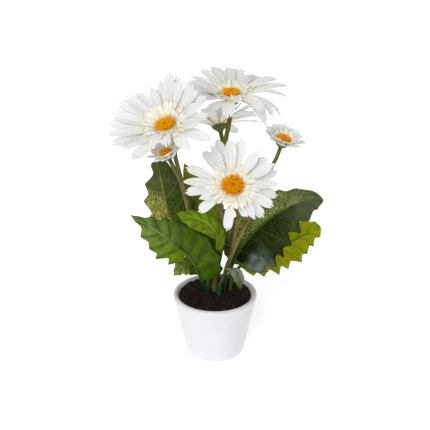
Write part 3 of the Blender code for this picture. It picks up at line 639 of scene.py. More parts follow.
@dataclass(frozen=True)
class GlazedStoneware(Finish):
    """White stoneware under a clear glaze, dipped and fired: smooth, with a soft shine."""
    name: str = "glazed_stoneware"
    light: str = "DBDADF"
    shade: str = "D8D7DC"
    mottle: float = 22 * MM
    orange_peel: float = 2.5 * MM

    def build(self) -> bpy.types.Material:
        """Make the glaze: a faint cloudiness and a very fine orange peel.

        Returns:
            The material.
        """
        shader = Shader(self.name, {"Roughness": 0.3, "IOR": 1.5, "Coat Weight": 0.12,
                                    "Coat Roughness": 0.06, "Specular IOR Level": 0.25})
        place = shader.place()
        cloud = shader.noise(place, 1 / self.mottle, 3.0)
        peel = shader.noise(place, 1 / self.orange_peel, 1.0)
        return shader.done({
            "Base Color": shader.ramp(cloud, (0.35, self.shade), (0.65, self.light)),
            "Normal": shader.bump(peel, 0.12, 0.05 * MM)})


@dataclass(frozen=True)
class MoistPeat(Finish):
    """Moist peat compost, sieved: near black, in crumbs with paler fibres and no shine."""
    name: str = "moist_peat"
    deep: str = "0B0705"
    body: str = "170E0A"
    fibre: str = "38271E"
    crumb: float = 1.6 * MM
    patch: float = 6 * MM

    def build(self) -> bpy.types.Material:
        """Make the peat: crumbs that differ in shade, and a rough broken surface.

        Returns:
            The material.
        """
        shader = Shader(self.name, {"Roughness": 0.92, "Specular IOR Level": 0.25})
        place = shader.place()
        crumbs = shader.node("TexVoronoi", {"Vector": place, "Scale": 1 / self.crumb})
        patches = shader.noise(place, 1 / self.patch, 6.0)
        shade = shader.calc("MULTIPLY_ADD", crumbs.outputs["Color"], 0.55, patches)
        grit = shader.noise(place, 2.5 / self.crumb, 4.0)
        return shader.done({
            "Base Color": shader.ramp(shade, (0.45, self.deep), (0.8, self.body),
                                      (1.0, self.fibre)),
            "Normal": shader.bump(grit, 0.8, 0.5 * MM)})


@dataclass(frozen=True)
class Petal(Finish):
    """A white ray petal: thin and soft, so that light glows through, with fine long veins."""
    root: str = "E4E4BE"
    cream: str = "F4F0D0"
    white: str = "E9E9E8"
    vein: str = "CDCDCC"
    cream_until: float = 0.5
    veins_across: float = 7.0
    through: float = 0.5
    depth: float = 2.5 * MM
    unlikeness: float = 40.0      # how far apart in the noise two petals' veins are read

    def build(self) -> bpy.types.Material:
        """Make the petal: green at the root, cream, then white, streaked along its length.

        Returns:
            The material.
        """
        shader = Shader(self.name, {
            "Roughness": 0.62, "Specular IOR Level": 0.2, "Subsurface Weight": self.through,
            "Subsurface Radius": (1.0, 0.95, 0.85), "Subsurface Scale": self.depth})
        across, along, tone = map(shader.attribute, ("across", "along", "tone"))
        base = shader.ramp(along, (0.0, self.root), (0.1, self.cream),
                           (self.cream_until * 0.6, self.cream), (self.cream_until, self.white))
        place = shader.join(shader.times(across, self.veins_across), along,
                            shader.times(tone, self.unlikeness))
        streaks = shader.noise(place, 1.0, 3.0)
        streak = shader.ranged(streaks, 0.5, 0.72, to_high=0.6)
        return shader.done({"Base Color": shader.mix(streak, base, self.vein),
                            "Normal": shader.bump(streaks, 0.35, 0.3 * MM)})


@dataclass(frozen=True)
class Florets(Finish):
    """Pollen-dusted disc florets: matt orange, yellower at the tips, green in the middle."""
    name: str = "pollen_florets"
    bud: str = "6E7A14"
    deep: str = "DC7C00"
    body: str = "FCA400"
    tip: str = "FFC000"
    dust: float = 0.4 * MM

    def build(self) -> bpy.types.Material:
        """Make the florets: "tone" runs from the green middle to the rim.

        Returns:
            The material.
        """
        shader = Shader(self.name, {"Roughness": 0.85, "Specular IOR Level": 0.1})
        orange = shader.ramp(shader.attribute("along"), (0.0, self.deep), (0.5, self.body),
                             (1.0, self.tip))
        middle = shader.ranged(shader.attribute("tone"), 0.12, 0.24, 0.75, 0.0)
        dust = shader.noise(shader.place(), 1 / self.dust)
        return shader.done({"Base Color": shader.mix(middle, orange, self.bud),
                            "Normal": shader.bump(dust, 0.4, 0.1 * MM)})


@dataclass(frozen=True)
class DownyStem(Finish):
    """A downy flower stem: matt olive and brown in long streaks, grey-green at the cup."""
    name: str = "downy_stem"
    dark: str = "3E3A12"
    body: str = "6E6636"
    light: str = "8C8252"
    green: str = "5C5E12"
    green_from: float = 0.16
    green_to: float = 0.26
    low: str = "26330F"
    low_from: float = 0.12
    low_to: float = 0.08
    calyx: str = "54644C"
    streaks_round: float = 1.8
    streaks_along: float = 9.0
    down: float = 0.35 * MM

    def build(self) -> bpy.types.Material:
        """Make the stem: streaks along it and fine down as a soft bump.

        Returns:
            The material.
        """
        shader = Shader(self.name, {"Roughness": 0.75, "Specular IOR Level": 0.15})
        across, along, tone = map(shader.attribute, ("across", "along", "tone"))
        angle = shader.times(across, math.pi)
        wound = shader.join(shader.calc("COSINE", angle), shader.calc("SINE", angle),
                            shader.times(along, self.streaks_along))
        colour = shader.ramp(shader.noise(wound, self.streaks_round, 4.0),
                             (0.3, self.dark), (0.5, self.body), (0.72, self.light))
        place = shader.place()
        height = shader.node("SeparateXYZ", {"Vector": place}).outputs["Z"]
        upper = shader.ranged(height, self.green_from, self.green_to, to_high=0.7)
        lower = shader.ranged(height, self.low_from, self.low_to, to_high=0.35)
        cupped = shader.ranged(tone, 0.55, 0.9, to_high=0.7)
        for share, over in ((upper, self.green), (lower, self.low), (cupped, self.calyx)):
            colour = shader.mix(share, colour, over)
        down = shader.noise(place, 1 / self.down)
        return shader.done({"Base Color": colour, "Normal": shader.bump(down, 0.35, 0.15 * MM)})


@dataclass(frozen=True)
class LeafSkin(Finish):
    """A gerbera leaf: waxy above, matt below, with a midrib, veins to its teeth and a net."""
    left: str = "6E8A34"
    right: str = "6E8A34"
    tip: str = "7C9650"
    base: str = "5A6A0C"
    vein: str = "93A35C"
    net: str = "A2AA5E"
    stalk: str = "1F4A2E"
    under: str = "7E8E4A"
    under_roughness: float = 0.65
    vein_show: float = 0.5
    # painted shade beside each side vein: how much darker that band is painted
    painted_vein_shade: float = 0.2
    vein_width: float = 0.06
    tip_from: float = 0.45
    tip_to: float = 0.95
    # colour and strength of a painted sheen, a highlight painted on the lobe at the root of the
    # right half
    painted_sheen: str = "5E6C60"
    painted_sheen_show: float = 0.0
    pale_from: float = 0.3
    pale_to: float = 0.75
    base_until: float = 0.3
    net_left: float = 0.15
    net_right: float = 0.15
    net_cell: float = 2.6
    net_squeeze: float = 0.6
    cloud: float = 9 * MM
    grain: float = 0.9 * MM
    roughness: float = 0.42
    shine: float = 0.04

    def build_for(self, length: float, width: float) -> bpy.types.Material:
        """Make the skin of one leaf.

        Args:
            length: Length of the blade in mm.
            width: Half-width of the blade in mm.

        Returns:
            The material.
        """
        shader = Shader(self.name, {"Specular IOR Level": self.shine, "IOR": 1.45})
        calc, times, ranged, mix = shader.calc, shader.times, shader.ranged, shader.mix
        across, along, tone, under, vein = map(shader.attribute,
                                               ("across", "along", "tone", "under", "vein"))
        # Ground colour: one green on each side of the midrib, run into the tip's and the base's
        colour = mix(ranged(across, -0.04, 0.04), self.left, self.right)
        to_tip = ranged(along, self.tip_from, self.tip_to)
        to_base = ranged(along, self.base_until, 0.0)
        colour = mix(to_base, mix(to_tip, colour, self.tip), self.base)
        # Cloudiness in real size
        place = shader.place()
        cloud = shader.noise(place, 1 / self.cloud, 4.0)
        # Side veins, climbing from the midrib to each tooth, with painted shade in a band beside
        # each vein where the blade dips
        lean = calc("MULTIPLY_ADD", calc("ABSOLUTE", across), -VEIN_LEAN / 2, VEIN_LEAN / 2)
        part = calc("FRACT", calc("ADD", vein, lean))
        away = calc("ABSOLUTE", calc("SUBTRACT", part, 0.5))
        veins = ranged(away, self.vein_width, 0.01)
        vein_shade_band = ranged(away, 0.02, 0.2, to_low=1 - self.painted_vein_shade)
        shade = times(ranged(cloud, 0.3, 0.7, 0.66, 1.3), vein_shade_band)
        colour = shader.node("VectorMath", {0: colour, "Scale": shade},
                             operation="SCALE").outputs["Vector"]
        # The net between them, in cells of real size, which fades at the tip and the base
        net_place = shader.join(times(across, width / self.net_cell),
                                times(along, length / self.net_cell * self.net_squeeze))
        cells = shader.node("TexVoronoi", {"Vector": net_place, "Scale": 1.0},
                            feature="DISTANCE_TO_EDGE")
        lines = ranged(cells.outputs["Distance"], 0.16, 0.02)
        fading = calc("MULTIPLY_ADD", calc("MAXIMUM", to_tip, to_base), -0.8, 1.0)
        net_show = ranged(across, -0.05, 0.05, self.net_left, self.net_right)
        colour = mix(times(times(lines, fading), net_show), colour, self.net)
        colour = mix(times(veins, self.vein_show), colour, self.vein)
        # Painted sheen: a pale grey-green highlight painted on the lobe at the root of the right
        # half, patchy with the cloudiness
        lobe = times(ranged(along, 0.3, 0.16), ranged(across, 0.3, 0.55, 0.0, self.painted_sheen_show))
        colour = mix(times(lobe, ranged(cloud, 0.2, 0.6)), colour, self.painted_sheen)
        # The underside, then the stalk and midrib, which pale into the vein's colour at the tip
        colour = mix(times(under, 0.55), colour, self.under)
        rib = mix(ranged(along, self.pale_from, self.pale_to), self.stalk, self.vein)
        relief = calc("MULTIPLY_ADD", lines, 0.5, veins)
        height = calc("MULTIPLY_ADD", shader.noise(place, 1 / self.grain), 0.6, relief)
        return shader.done({
            "Base Color": mix(tone, colour, rib), "Normal": shader.bump(height, 0.8, 0.4 * MM),
            "Roughness": ranged(under, 0.0, 1.0, self.roughness, self.under_roughness)})


@dataclass(frozen=True)
class YoungSheath(Finish):
    """A young leaf still rolled in its sheath: deep blue-green, waxy, paler at the folds."""
    name: str = "young_sheath"
    deep: str = "06301C"
    body: str = "145838"
    fold: float = 2.2 * MM

    def build(self) -> bpy.types.Material:
        """Make the sheath: long soft folds in two greens.

        Returns:
            The material.
        """
        shader = Shader(self.name, {"Roughness": 0.35, "IOR": 1.45})
        drawn = shader.node("Mapping", {
            "Vector": shader.place(), "Scale": (1 / self.fold, 1 / self.fold, 0.2 / self.fold)})
        folds = shader.noise(drawn.outputs[0], 1.0, 3.0)
        return shader.done({
            "Base Color": shader.ramp(folds, (0.35, self.deep), (0.7, self.body)),
            "Normal": shader.bump(folds, 0.5, 0.4 * MM)})


@dataclass(frozen=True)
class StudioPaint(Finish):
    """The matt white top of a softly lit studio table."""
    name: str = "studio_paint"
    white: str = "FBFBFB"
    glow: float = 0.5
    roller: float = 3 * MM

    def build(self) -> bpy.types.Material:
        """Make the paint: white, with a faint roller texture.

        Returns:
            The material.
        """
        shader = Shader(self.name, {
            "Base Color": self.white, "Roughness": 0.9, "Specular IOR Level": 0.1,
            "Emission Color": self.white, "Emission Strength": self.glow})
        roller = shader.noise(shader.place(), 1 / self.roller)
        return shader.done({"Normal": shader.bump(roller, 0.05, 0.1 * MM)})


LEAF_SKINS = {
    "leaf_front_left": LeafSkin(
        "front_left_leaf", "627A0A", "3E5900", "6E8640", "3F5400", vein="8C9F55", stalk="0B3A33",
        shine=0.05, vein_show=0.15, painted_vein_shade=0.5, net_left=0.08, net_right=0.08, pale_from=0.45),
    "leaf_mid_left": LeafSkin(
        "mid_left_leaf", "5E7608", "5A7404", "6E8810", "2C4202", vein="8EA63C", stalk="5A6A1C",
        vein_show=0.25, painted_vein_shade=0.45, net_left=0.05, net_right=0.05),
    # Painted shade: the tip is painted a darker grey-green for the top of the blade, where it bends
    # back.
    "leaf_tall_left": LeafSkin(
        "tall_left_leaf", "626610", "2C4200", "454D28", "2C3A02", vein="7C8244", net="AEB064",
        stalk="33401A", net_left=0.9, net_right=0.15, tip_from=0.58, tip_to=0.72),
    "leaf_tall_back": LeafSkin(
        "tall_back_leaf", "5C6A04", "74800A", "7C8610", "3A4602", vein="98982E", stalk="4A5216",
        net_left=0.3, net_right=0.3),
    # The right leaf carries a painted sheen: a grey-green highlight painted on the lobe at its
    # root.
    "leaf_right": LeafSkin(
        "right_leaf", "5C6A22", "26320A", "545E3E", "0C1402", vein="66802A", net="B2BC74",
        stalk="4A5C18", painted_sheen="76867A", painted_sheen_show=0.68, vein_show=0.28, vein_width=0.045,
        base_until=0.55, tip_from=0.55, tip_to=0.85, net_left=1.0, net_right=0.05, roughness=0.3),
    "leaf_low_right": LeafSkin(
        "low_right_leaf", "767E00", "7E8600", "929A02", "5C6200", vein="5E6402", net="BCC424",
        stalk="5E6212", under="8A9004", vein_show=0.6, painted_vein_shade=0.5, net_left=0.8, net_right=0.8),
    # Painted sheen: both halves are painted a pale grey-green for a glossy highlight; the leaf's
    # own dark green is left at the tip and the base.
    "leaf_small_front": LeafSkin(
        "small_front_leaf", "9AA698", "88947E", "3A4C12", "2A3A18", vein="5C7040",
        stalk="2A3A1A", vein_show=0.2, roughness=0.28),
    "leaf_low_left": LeafSkin(
        "low_left_leaf", "5A8009", "618507", "7C8648", "42640A", vein="94A85C", stalk="355C14",
        vein_show=0.35, painted_vein_shade=0.4, roughness=0.3),
    "leaf_back": LeafSkin("back_leaf", "4C6610", "547012", "667E28", "3C4C06"),
    "leaf_back_right": LeafSkin(
        "back_right_leaf", "32460E", "384E10", "445626", "1E2C06", vein="5E7632", roughness=0.34),
}


# ---------------------------------------------------------------- pot and soil

def inner_radius(height: float) -> float:
    """Radius of the pot's inner wall at a height."""
    low, high = FOOT_RADIUS - WALL, RIM_RADIUS - BODY_INSET - WALL
    return low + (high - low) * (height - FLOOR) / (POT_HEIGHT - FLOOR)


def arc(middle: Pair, radius: float, ends: Pair, steps: int) -> list[Pair]:
    """Points on an arc in the profile plane.

    Args:
        middle: The arc's centre, as a radius and a height.
        radius: The arc's own radius.
        ends: Angles in degrees where it starts and ends.
        steps: How many steps it is cut into.

    Returns:
        One point more than the steps.
    """
    start, end = ends
    angles = [math.radians(start + (end - start) * i / steps) for i in range(steps + 1)]
    return [(middle[0] + radius * math.cos(angle), middle[1] + radius * math.sin(angle))
            for angle in angles]


@dataclass
class Pot:
    """The glazed pot: flat foot, straight taper and a rolled lip."""
    steps: int = 144
    lip_arc: Pair = (150, -30)
    lip_steps: int = 18
    foot_arc: Pair = (-8, -90)
    foot_steps: int = 8
    wall_rings: int = 10
    corner: float = 2 * MM

    def build(self) -> None:
        """Turn the pot and glaze it."""
        lip = (RIM_RADIUS - LIP_RADIUS, POT_HEIGHT - LIP_RADIUS)
        start = (RIM_RADIUS - BODY_INSET, POT_HEIGHT - 3 * LIP_RADIUS)
        foot = arc((FOOT_RADIUS - FOOT_ROUND, FOOT_ROUND), FOOT_ROUND, self.foot_arc,
                   self.foot_steps)
        end, rings = foot[0], self.wall_rings
        profile = [(0.0, FLOOR), (inner_radius(FLOOR) - self.corner, FLOOR)]
        profile += [(inner_radius(height), height) for height in (FLOOR + self.corner, lip[1])]
        profile += arc(lip, LIP_RADIUS, self.lip_arc, self.lip_steps)
        profile += [(start[0] + (end[0] - start[0]) * k / rings,
                     start[1] + (end[1] - start[1]) * k / rings) for k in range(rings)]
        body = Body()
        body.turn(profile + foot + [(0.0, 0.0)], self.steps)
        body.piece("glazed_pot", "pot", "pot", [GlazedStoneware().build()])


@dataclass
class Soil:
    """Peat heaped nearly to the lip, broken into lumps, with loose crumbs on top."""
    steps: int = 96
    rings: int = 44
    heap_power: int = 5
    corner: float = 3 * MM
    broken_above: float = 0.1 * MM
    lump: float = 9 * MM
    lump_height: float = 0.8 * MM
    grain: float = 2.2 * MM
    grain_height: float = 0.5 * MM
    crumbs: int = 900
    crumb_sizes: Pair = (0.35 * MM, 1.15 * MM)
    crumb_widths: Pair = (0.5, 1.0)
    crumb_heights: Pair = (0.4, 0.8)
    crumb_lift: float = 0.2
    crumb_margin: float = 1 * MM
    seed: int = 5

    def height(self, radius: float) -> float:
        """Level of the soil at a radius."""
        share = min(1.0, radius / inner_radius(SOIL_EDGE))
        return SOIL_EDGE + (SOIL_MIDDLE - SOIL_EDGE) * math.sqrt(1 - share ** self.heap_power)

    def roughness(self, place: Vector) -> float:
        """How far the broken surface stands above or below its level."""
        return (noise.noise(place / self.lump) * self.lump_height
                + noise.noise(place / self.grain) * self.grain_height)

    def build(self) -> None:
        """Turn the heap, break its top and scatter crumbs over it."""
        side = inner_radius(SOIL_EDGE) - SOIL_GAP
        radii = [side * math.sin(math.pi / 2 * k / self.rings) for k in range(self.rings + 1)]
        profile = [(radius, self.height(radius)) for radius in radii]
        profile += [(inner_radius(FLOOR + self.corner) - SOIL_GAP, FLOOR + self.corner),
                    (inner_radius(FLOOR) - self.corner, FLOOR + SOIL_GAP),
                    (0.0, FLOOR + SOIL_GAP)]
        body = Body()
        body.turn(profile, self.steps)
        for vert in body.bm.verts:
            if vert.co.z > SOIL_EDGE + self.broken_above:
                vert.co.z += self.roughness(vert.co)
        draw = random.Random(self.seed)
        for _ in range(self.crumbs):
            radius = (side - self.crumb_margin) * math.sqrt(draw.random())
            angle = draw.uniform(0, math.tau)
            size = draw.uniform(*self.crumb_sizes) * (1 + draw.random() ** 4)
            place = Vector((radius * math.cos(angle), radius * math.sin(angle),
                            self.height(radius)))
            place.z += self.roughness(place) + size * self.crumb_lift
            turned = Matrix.Rotation(draw.uniform(0, math.tau), 4,
                                     Vector((draw.random(), draw.random(), 1)))
            shaped = Matrix.Diagonal((1.0, draw.uniform(*self.crumb_widths),
                                      draw.uniform(*self.crumb_heights), 1.0))
            bmesh.ops.create_icosphere(body.bm, subdivisions=1, radius=size,
                                       matrix=Matrix.Translation(place) @ turned @ shaped)
        body.piece("peat", "soil", "soil", [MoistPeat().build()])


# ---------------------------------------------------------------- blooms

class Tip(Enum):
    """The outline of a petal's tip."""
    ROUND = "round"
    NICKED = "nicked"
    POINTED = "pointed"

    def reach(self, across: np.ndarray, side: float, depth: float) -> np.ndarray:
        """Share of the length that a petal reaches at each place across it.

        Args:
            across: From -1 to 1.
            side: 1 or -1, which side the deeper nick is on.
            depth: Depth of the deeper nick as a share of the length.

        Returns:
            Shares from about 0.6 to 1.
        """
        out = np.abs(across)
        if self is Tip.POINTED:
            return 1 - 0.34 * out ** 1.3
        reached = 1 - 0.17 * out ** 2.4
        if self is Tip.NICKED:
            reached = reached - sum(
                share * depth * np.exp(-((across - place * side) / NICK_WIDTH) ** 2)
                for place, share in NICK_PLACES)
        return reached


@dataclass(frozen=True)
class PlacedPetal:
    """Where one petal starts and how it lies: lengths in mm, angles in radians."""
    azimuth: float
    start: Pair
    length: float
    width: float
    lift: float
    droop: float
    twist: float
    tip: Tip
    tone: float


@dataclass(frozen=True)
class FringeRing:
    """A ring of short petals: shares of the fringe row's sizes, places in mm, lift in degrees."""
    share: float
    length: float
    width: float
    lift: float
    radius: Pair
    height: Pair


@dataclass
class BloomHead:
    """One bloom: petals with their fringe, the disc, and the stem with its cup."""
    bloom: Bloom
    petal_grid: tuple[int, int] = (18, 16)
    petal_wall: float = 0.4 * MM
    petal_tips: tuple[Tip, ...] = (Tip.ROUND, Tip.NICKED, Tip.NICKED, Tip.NICKED, Tip.POINTED)
    lift_spread: float = 2.5      # these three in degrees
    turn_spread: float = 3
    twist_spread: float = 16
    lengths: Pair = (0.92, 1.06)
    longer: float = 1.03
    wider: Pair = (1.0, 1.22)
    ridge: float = 0.28
    ripple: float = 0.55
    fringe_grid: tuple[int, int] = (5, 8)
    fringe_rings: tuple[FringeRing, ...] = (
        FringeRing(1.2, 1.8, 1.4, 17.0, (10.6, 11.2), (13.2, 13.8)),
        FringeRing(1.6, 1.0, 0.85, 27.0, (9.8, 10.8), (13.4, 14.2)))
    fringe_tips: tuple[Tip, ...] = (Tip.POINTED, Tip.NICKED)
    fringe_droop: float = 14
    fringe_room: float = 1.3      # facets that a raised petal keeps clear of fringe
    core_grid: tuple[int, int] = (32, 8)
    florets: int = 170
    fewer_florets: float = 0.55   # share of them on a small bloom
    floret_reach: float = 0.9     # share of the disc's radius that they stand on
    floret_sink: float = 2.2      # how far below the dome the florets start, and its own surface
    disc_sink: float = 1.6
    disc_steps: int = 28
    disc_rings: int = 7
    stem_columns: int = 16
    stem_rows: int = 44
    cup_steps: int = 26
    cup_tone: float = 0.75
    bracts: int = 13
    bract_grid: tuple[int, int] = (8, 7)

    def look(self, part: int) -> random.Random:
        """Start the draws of one part of the bloom."""
        return random.Random(self.bloom.seed + 100 * part)

    def frame(self) -> Matrix:
        """Matrix from the bloom's own millimetres (x across, y up, z facing) to the plant.

        Returns:
            The matrix, which also turns millimetres into metres.
        """
        facing = Vector(self.bloom.facing).normalized()
        across = (Vector((1, 0, 0)) - facing * facing.x).normalized()
        up = facing.cross(across)
        top = (Vector(self.bloom.middle) - facing * DISC_MIDDLE * self.bloom.size) * MM
        turned = Matrix((across, up, facing)).transposed().to_4x4()
        return Matrix.Translation(top) @ turned @ Matrix.Scale(MM, 4)

    def petals(self) -> list[PlacedPetal]:
        """Place the two rows of petals: each on its own facet of the bloom's core.

        Returns:
            The petals, outer row first.
        """
        bloom = self.bloom
        draw, look = self.look(0), self.look(1)
        facets = 2 * bloom.petals
        strays = {facet: changes for facet, *changes in bloom.strays}
        placed = []
        for number, (row, (height, radius)) in enumerate(zip(bloom.rows, ROOTS)):
            for k in range((number + 1) % 2, facets, 2):
                azimuth = math.tau * (k + 0.5) / facets
                turned, share, lifted, drooped = strays.get(k, ALIKE)
                lift = row.lift + sway(draw, self.lift_spread) + lifted
                lift += bloom.swing * math.cos(azimuth - math.radians(bloom.high_side))
                length = self.longer * row.length * share * draw.uniform(*self.lengths)
                length *= 1 + bloom.stretch * math.cos(azimuth - math.radians(bloom.long_side))
                droop = row.droop + drooped
                droop += bloom.bend * max(0.0, math.cos(azimuth - math.radians(bloom.bend_side)))
                turn = math.radians(sway(draw, self.turn_spread) + turned)
                twist = math.radians(sway(draw, self.twist_spread))
                if not share:
                    continue
                tip = look.choice(self.petal_tips)
                placed.append(PlacedPetal(
                    azimuth + turn, (radius * bloom.size, height * bloom.size), length,
                    row.width * look.uniform(*self.wider), math.radians(lift),
                    math.radians(droop), twist, tip, look.random()))
        return placed

    def fringe(self) -> list[PlacedPetal]:
        """Place the short cream petals: a flatter ring of broad ones, and narrow ones inside.

        Returns:
            The petals, ring by ring, without those that a raised petal leaves no room for.
        """
        outer, row, size = self.bloom.rows[0], self.bloom.rows[2], self.bloom.size
        look, facets = self.look(2), 2 * self.bloom.petals
        raised = [facet for facet, _, _, lift, _ in self.bloom.strays if lift > CROWDING]
        placed = []
        for ring in self.fringe_rings:
            count = round(ring.share * facets)
            for k in range(count):
                azimuth = math.tau * (k + sway(look, 0.3)) / count
                strip = PlacedPetal(
                    azimuth, (look.uniform(*ring.radius) * size, look.uniform(*ring.height) * size),
                    row.length * ring.length * look.uniform(0.85, 1.15),
                    row.width * ring.width * look.uniform(0.85, 1.2),
                    math.radians(outer.lift + ring.lift + look.uniform(-6, 8)),
                    math.radians(self.fringe_droop), sway(look, 0.35),
                    look.choice(self.fringe_tips), look.random())
                facet = azimuth / math.tau * facets - 0.5
                if all(abs((facet - other + facets / 2) % facets - facets / 2) > self.fringe_room
                       for other in raised):
                    placed.append(strip)
        return placed

    def blade(self, petal: PlacedPetal) -> Shape:
        """The shape of one petal in the bloom's own millimetres.

        Args:
            petal: Where the petal starts and how it lies.

        Returns:
            A function that gives the petal's places.
        """
        steps = np.linspace(0, 1, BEND_STEPS + 1)
        slopes = petal.lift - 2 * petal.droop * steps
        run, climb = (np.concatenate(([0.0], np.cumsum((part[1:] + part[:-1]) / 2))) / BEND_STEPS
                      for part in (np.cos(slopes), np.sin(slopes)))
        shares, widths = zip(*PETAL_WIDTHS)
        radial = np.array((math.cos(petal.azimuth), math.sin(petal.azimuth), 0.0))
        sideways = np.array((-math.sin(petal.azimuth), math.cos(petal.azimuth), 0.0))
        facing = np.array((0.0, 0.0, 1.0))
        nick = NICKS.get(self.bloom.name, PLAIN_NICK)
        nick *= 0.7 + 0.6 * math.fmod(7 * petal.tone, 1.0)

        def shape(across: np.ndarray, along: np.ndarray) -> np.ndarray:
            """Places of the petal's points: bent along its length, cupped, ridged and rippled.

            Args:
                across: Places from -1 to 1 across the petal.
                along: Places from 0 to 1 along it.

            Returns:
                One place for each.
            """
            reach = along * petal.tip.reach(across, 1.0 if petal.tone > 0.5 else -1.0, nick)
            slope = (petal.lift - 2 * petal.droop * reach)[:, None]
            lean = (petal.twist * reach)[:, None]
            half = 0.5 * petal.width * np.interp(reach, shares, widths)
            out = np.abs(across)
            rise = half * PETAL_CUP * (1 - reach * 0.5) * out ** 1.7
            rise += (self.ridge * np.cos(across * 2.5 * math.pi)
                     * np.sin(math.pi * np.minimum(reach * 1.1, 1.0)))
            rise += (self.ripple * out ** 2 * reach
                     * np.sin(math.tau * (1.3 * reach + 7 * petal.tone + across / 4)))
            normal = facing * np.cos(slope) - radial * np.sin(slope)
            flat = sideways * np.cos(lean) + normal * np.sin(lean)
            normal = normal * np.cos(lean) - sideways * np.sin(lean)
            radius = petal.start[0] + petal.length * np.interp(reach, steps, run)
            height = petal.start[1] + petal.length * np.interp(reach, steps, climb)
            return (radial * radius[:, None] + facing * height[:, None]
                    + flat * (half * across)[:, None] + normal * rise[:, None])

        return shape

    def build_petals(self, finishes: list[bpy.types.Material]) -> None:
        """Make every petal and strip of the bloom in one piece.

        Args:
            finishes: The long petals' material and the fringe's.
        """
        body, name = Body(), self.bloom.name
        for petal in self.petals():
            body.sheet(*self.petal_grid, self.blade(petal), petal.tone)

        def core(turn: np.ndarray, along: np.ndarray) -> np.ndarray:
            """Places on the ring that carries the petals, from the cup in under the disc.

            Args:
                turn: Places round it, from -1 to 1.
                along: Places from 0 to 1 up it.

            Returns:
                One place for each.
            """
            shares, *rows = CORE_PROFILE
            radius, height = (self.bloom.size * np.interp(along, shares, row) for row in rows)
            return turned_places(radius, math.pi * turn, height)

        for vert in body.sleeve(*self.core_grid, core, capped=False):
            vert[body.along] = 0.0
        whole = len(body.bm.faces)
        for strip in self.fringe():
            body.sheet(*self.fringe_grid, self.blade(strip), strip.tone)
        body.bm.faces.ensure_lookup_table()
        for face in body.bm.faces[whole:]:
            face.material_index = 1
        body.move(self.frame())
        body.piece(f"ray_petals_{name}", f"petals_{name}", "petals", finishes, self.petal_wall)

    def dome(self, radius: float) -> float:
        """Height of the disc's dome at a radius, both in mm on a full-size bloom."""
        return DISC_RIM + DISC_HEIGHT * math.sqrt(max(0.0, 1 - (radius / DISC_RADIUS) ** 3))

    def build_disc(self, finish: bpy.types.Material) -> None:
        """Make the disc: a low dome crowded with upright florets, ragged at the rim.

        Args:
            finish: The florets' material.
        """
        body, look, bloom = Body(), self.look(3), self.bloom
        sines = [math.sin(math.pi / 2 * k / self.disc_rings)
                 for k in range(self.disc_rings, -1, -1)]
        rings = [(DISC_RADIUS * self.floret_reach * sine,
                  self.dome(DISC_RADIUS * sine) - self.disc_sink) for sine in sines]
        body.turn([(0.0, DISC_BASE)] + rings, self.disc_steps)
        count = len(body.bm.verts)
        body.label(list(body.bm.verts), np.zeros(count), np.zeros(count), np.ones(count))
        count = round(self.florets * (1.0 if bloom.size > SMALL_BLOOM else self.fewer_florets))
        wide, high = DISC_SPREADS.get(bloom.name, (1.0, 1.0))
        for k in range(count):
            share = math.sqrt((k + 0.5) / count)
            radius, angle = DISC_RADIUS * self.floret_reach * share, k * math.pi * GOLDEN_TURN
            tall = 2.2 + 1.6 * share ** 2 + look.uniform(-0.6, 1.3)
            foot = self.dome(radius) - self.floret_sink
            lean = math.radians(34 * share ** 3 + sway(look, 9))
            place = (Matrix.Rotation(angle, 4, "Z") @ Matrix.Translation((radius, 0, foot))
                     @ Matrix.Rotation(lean, 4, "Y") @ Matrix.Rotation(sway(look, 0.15), 4, "X"))
            thick = look.uniform(0.42, 0.58)
            verts = bmesh.ops.create_cone(
                body.bm, cap_ends=True, segments=6, radius1=thick * 0.8, radius2=thick, depth=tall,
                matrix=place @ Matrix.Translation((0, 0, tall / 2)))["verts"]
            ends = place.inverted()
            along = np.array([min(1.0, max(0.0, (ends @ vert.co).z / tall)) for vert in verts])
            body.label(verts, np.zeros(len(verts)), along * look.uniform(0.75, 1.0),
                       np.full(len(verts), share))
        body.move(self.frame() @ Matrix.Diagonal((wide, high, 1.0, 1.0))
                  @ Matrix.Scale(bloom.size, 4))
        body.piece(f"florets_{bloom.name}", f"disc_{bloom.name}", "disc", [finish])

    def tube(self) -> Shape:
        """The shape of the stem, from the soil to the bloom.

        Returns:
            A function that gives the stem's places.
        """
        bloom, top = self.bloom, self.frame().translation
        facing = Vector(bloom.facing).normalized()
        route = route_of(bloom)
        places, directions = smooth_path(route + [top - facing * NECK * MM, top], self.stem_rows)
        places = np.vstack(((route[0].x, route[0].y, ROOT_DEPTH), places))
        directions = np.vstack(((0.0, 0.0, 1.0), directions))
        directions[-1] = facing
        sides = carried_sides(directions, np.array((1.0, 0.0, 0.0)))
        others = np.cross(directions, sides)
        radius = STEM_RADIUS * MM * (SLIM_STEM if bloom.size < SMALL_BLOOM else 1.0)

        def shape(turn: np.ndarray, along: np.ndarray) -> np.ndarray:
            """Places on the stem: a round tube with faint ribs and a slightly uneven girth.

            Args:
                turn: Places round it, from -1 to 1.
                along: Places from 0 to 1 up it.

            Returns:
                One place for each.
            """
            row, angle = along * self.stem_rows, math.pi * turn
            girth = radius * (1 + 0.035 * np.cos(5 * angle + bloom.seed)
                              + 0.05 * np.sin(9 * along + bloom.seed))
            girth *= np.interp(along, (0.0, 0.93, 1.0), (1.0, 1.0, 0.98))
            return (sampled(places, row) + sampled(sides, row) * (np.cos(angle) * girth)[:, None]
                    + sampled(others, row) * (np.sin(angle) * girth)[:, None])

        return shape

    def bract(self, azimuth: float, low: float, tall: float, wide: float, flare: float) -> Shape:
        """The shape of one bract: a pointed scale that hugs the cup and lifts at its tip.

        Args:
            azimuth: Where it stands round the cup, in radians.
            low: Height of its foot, in mm like the three below.
            tall: How tall it is.
            wide: How wide it is.
            flare: How far its tip stands off the cup.

        Returns:
            A function that gives the bract's places.
        """
        heights, widths = zip(*CUP_PROFILE)

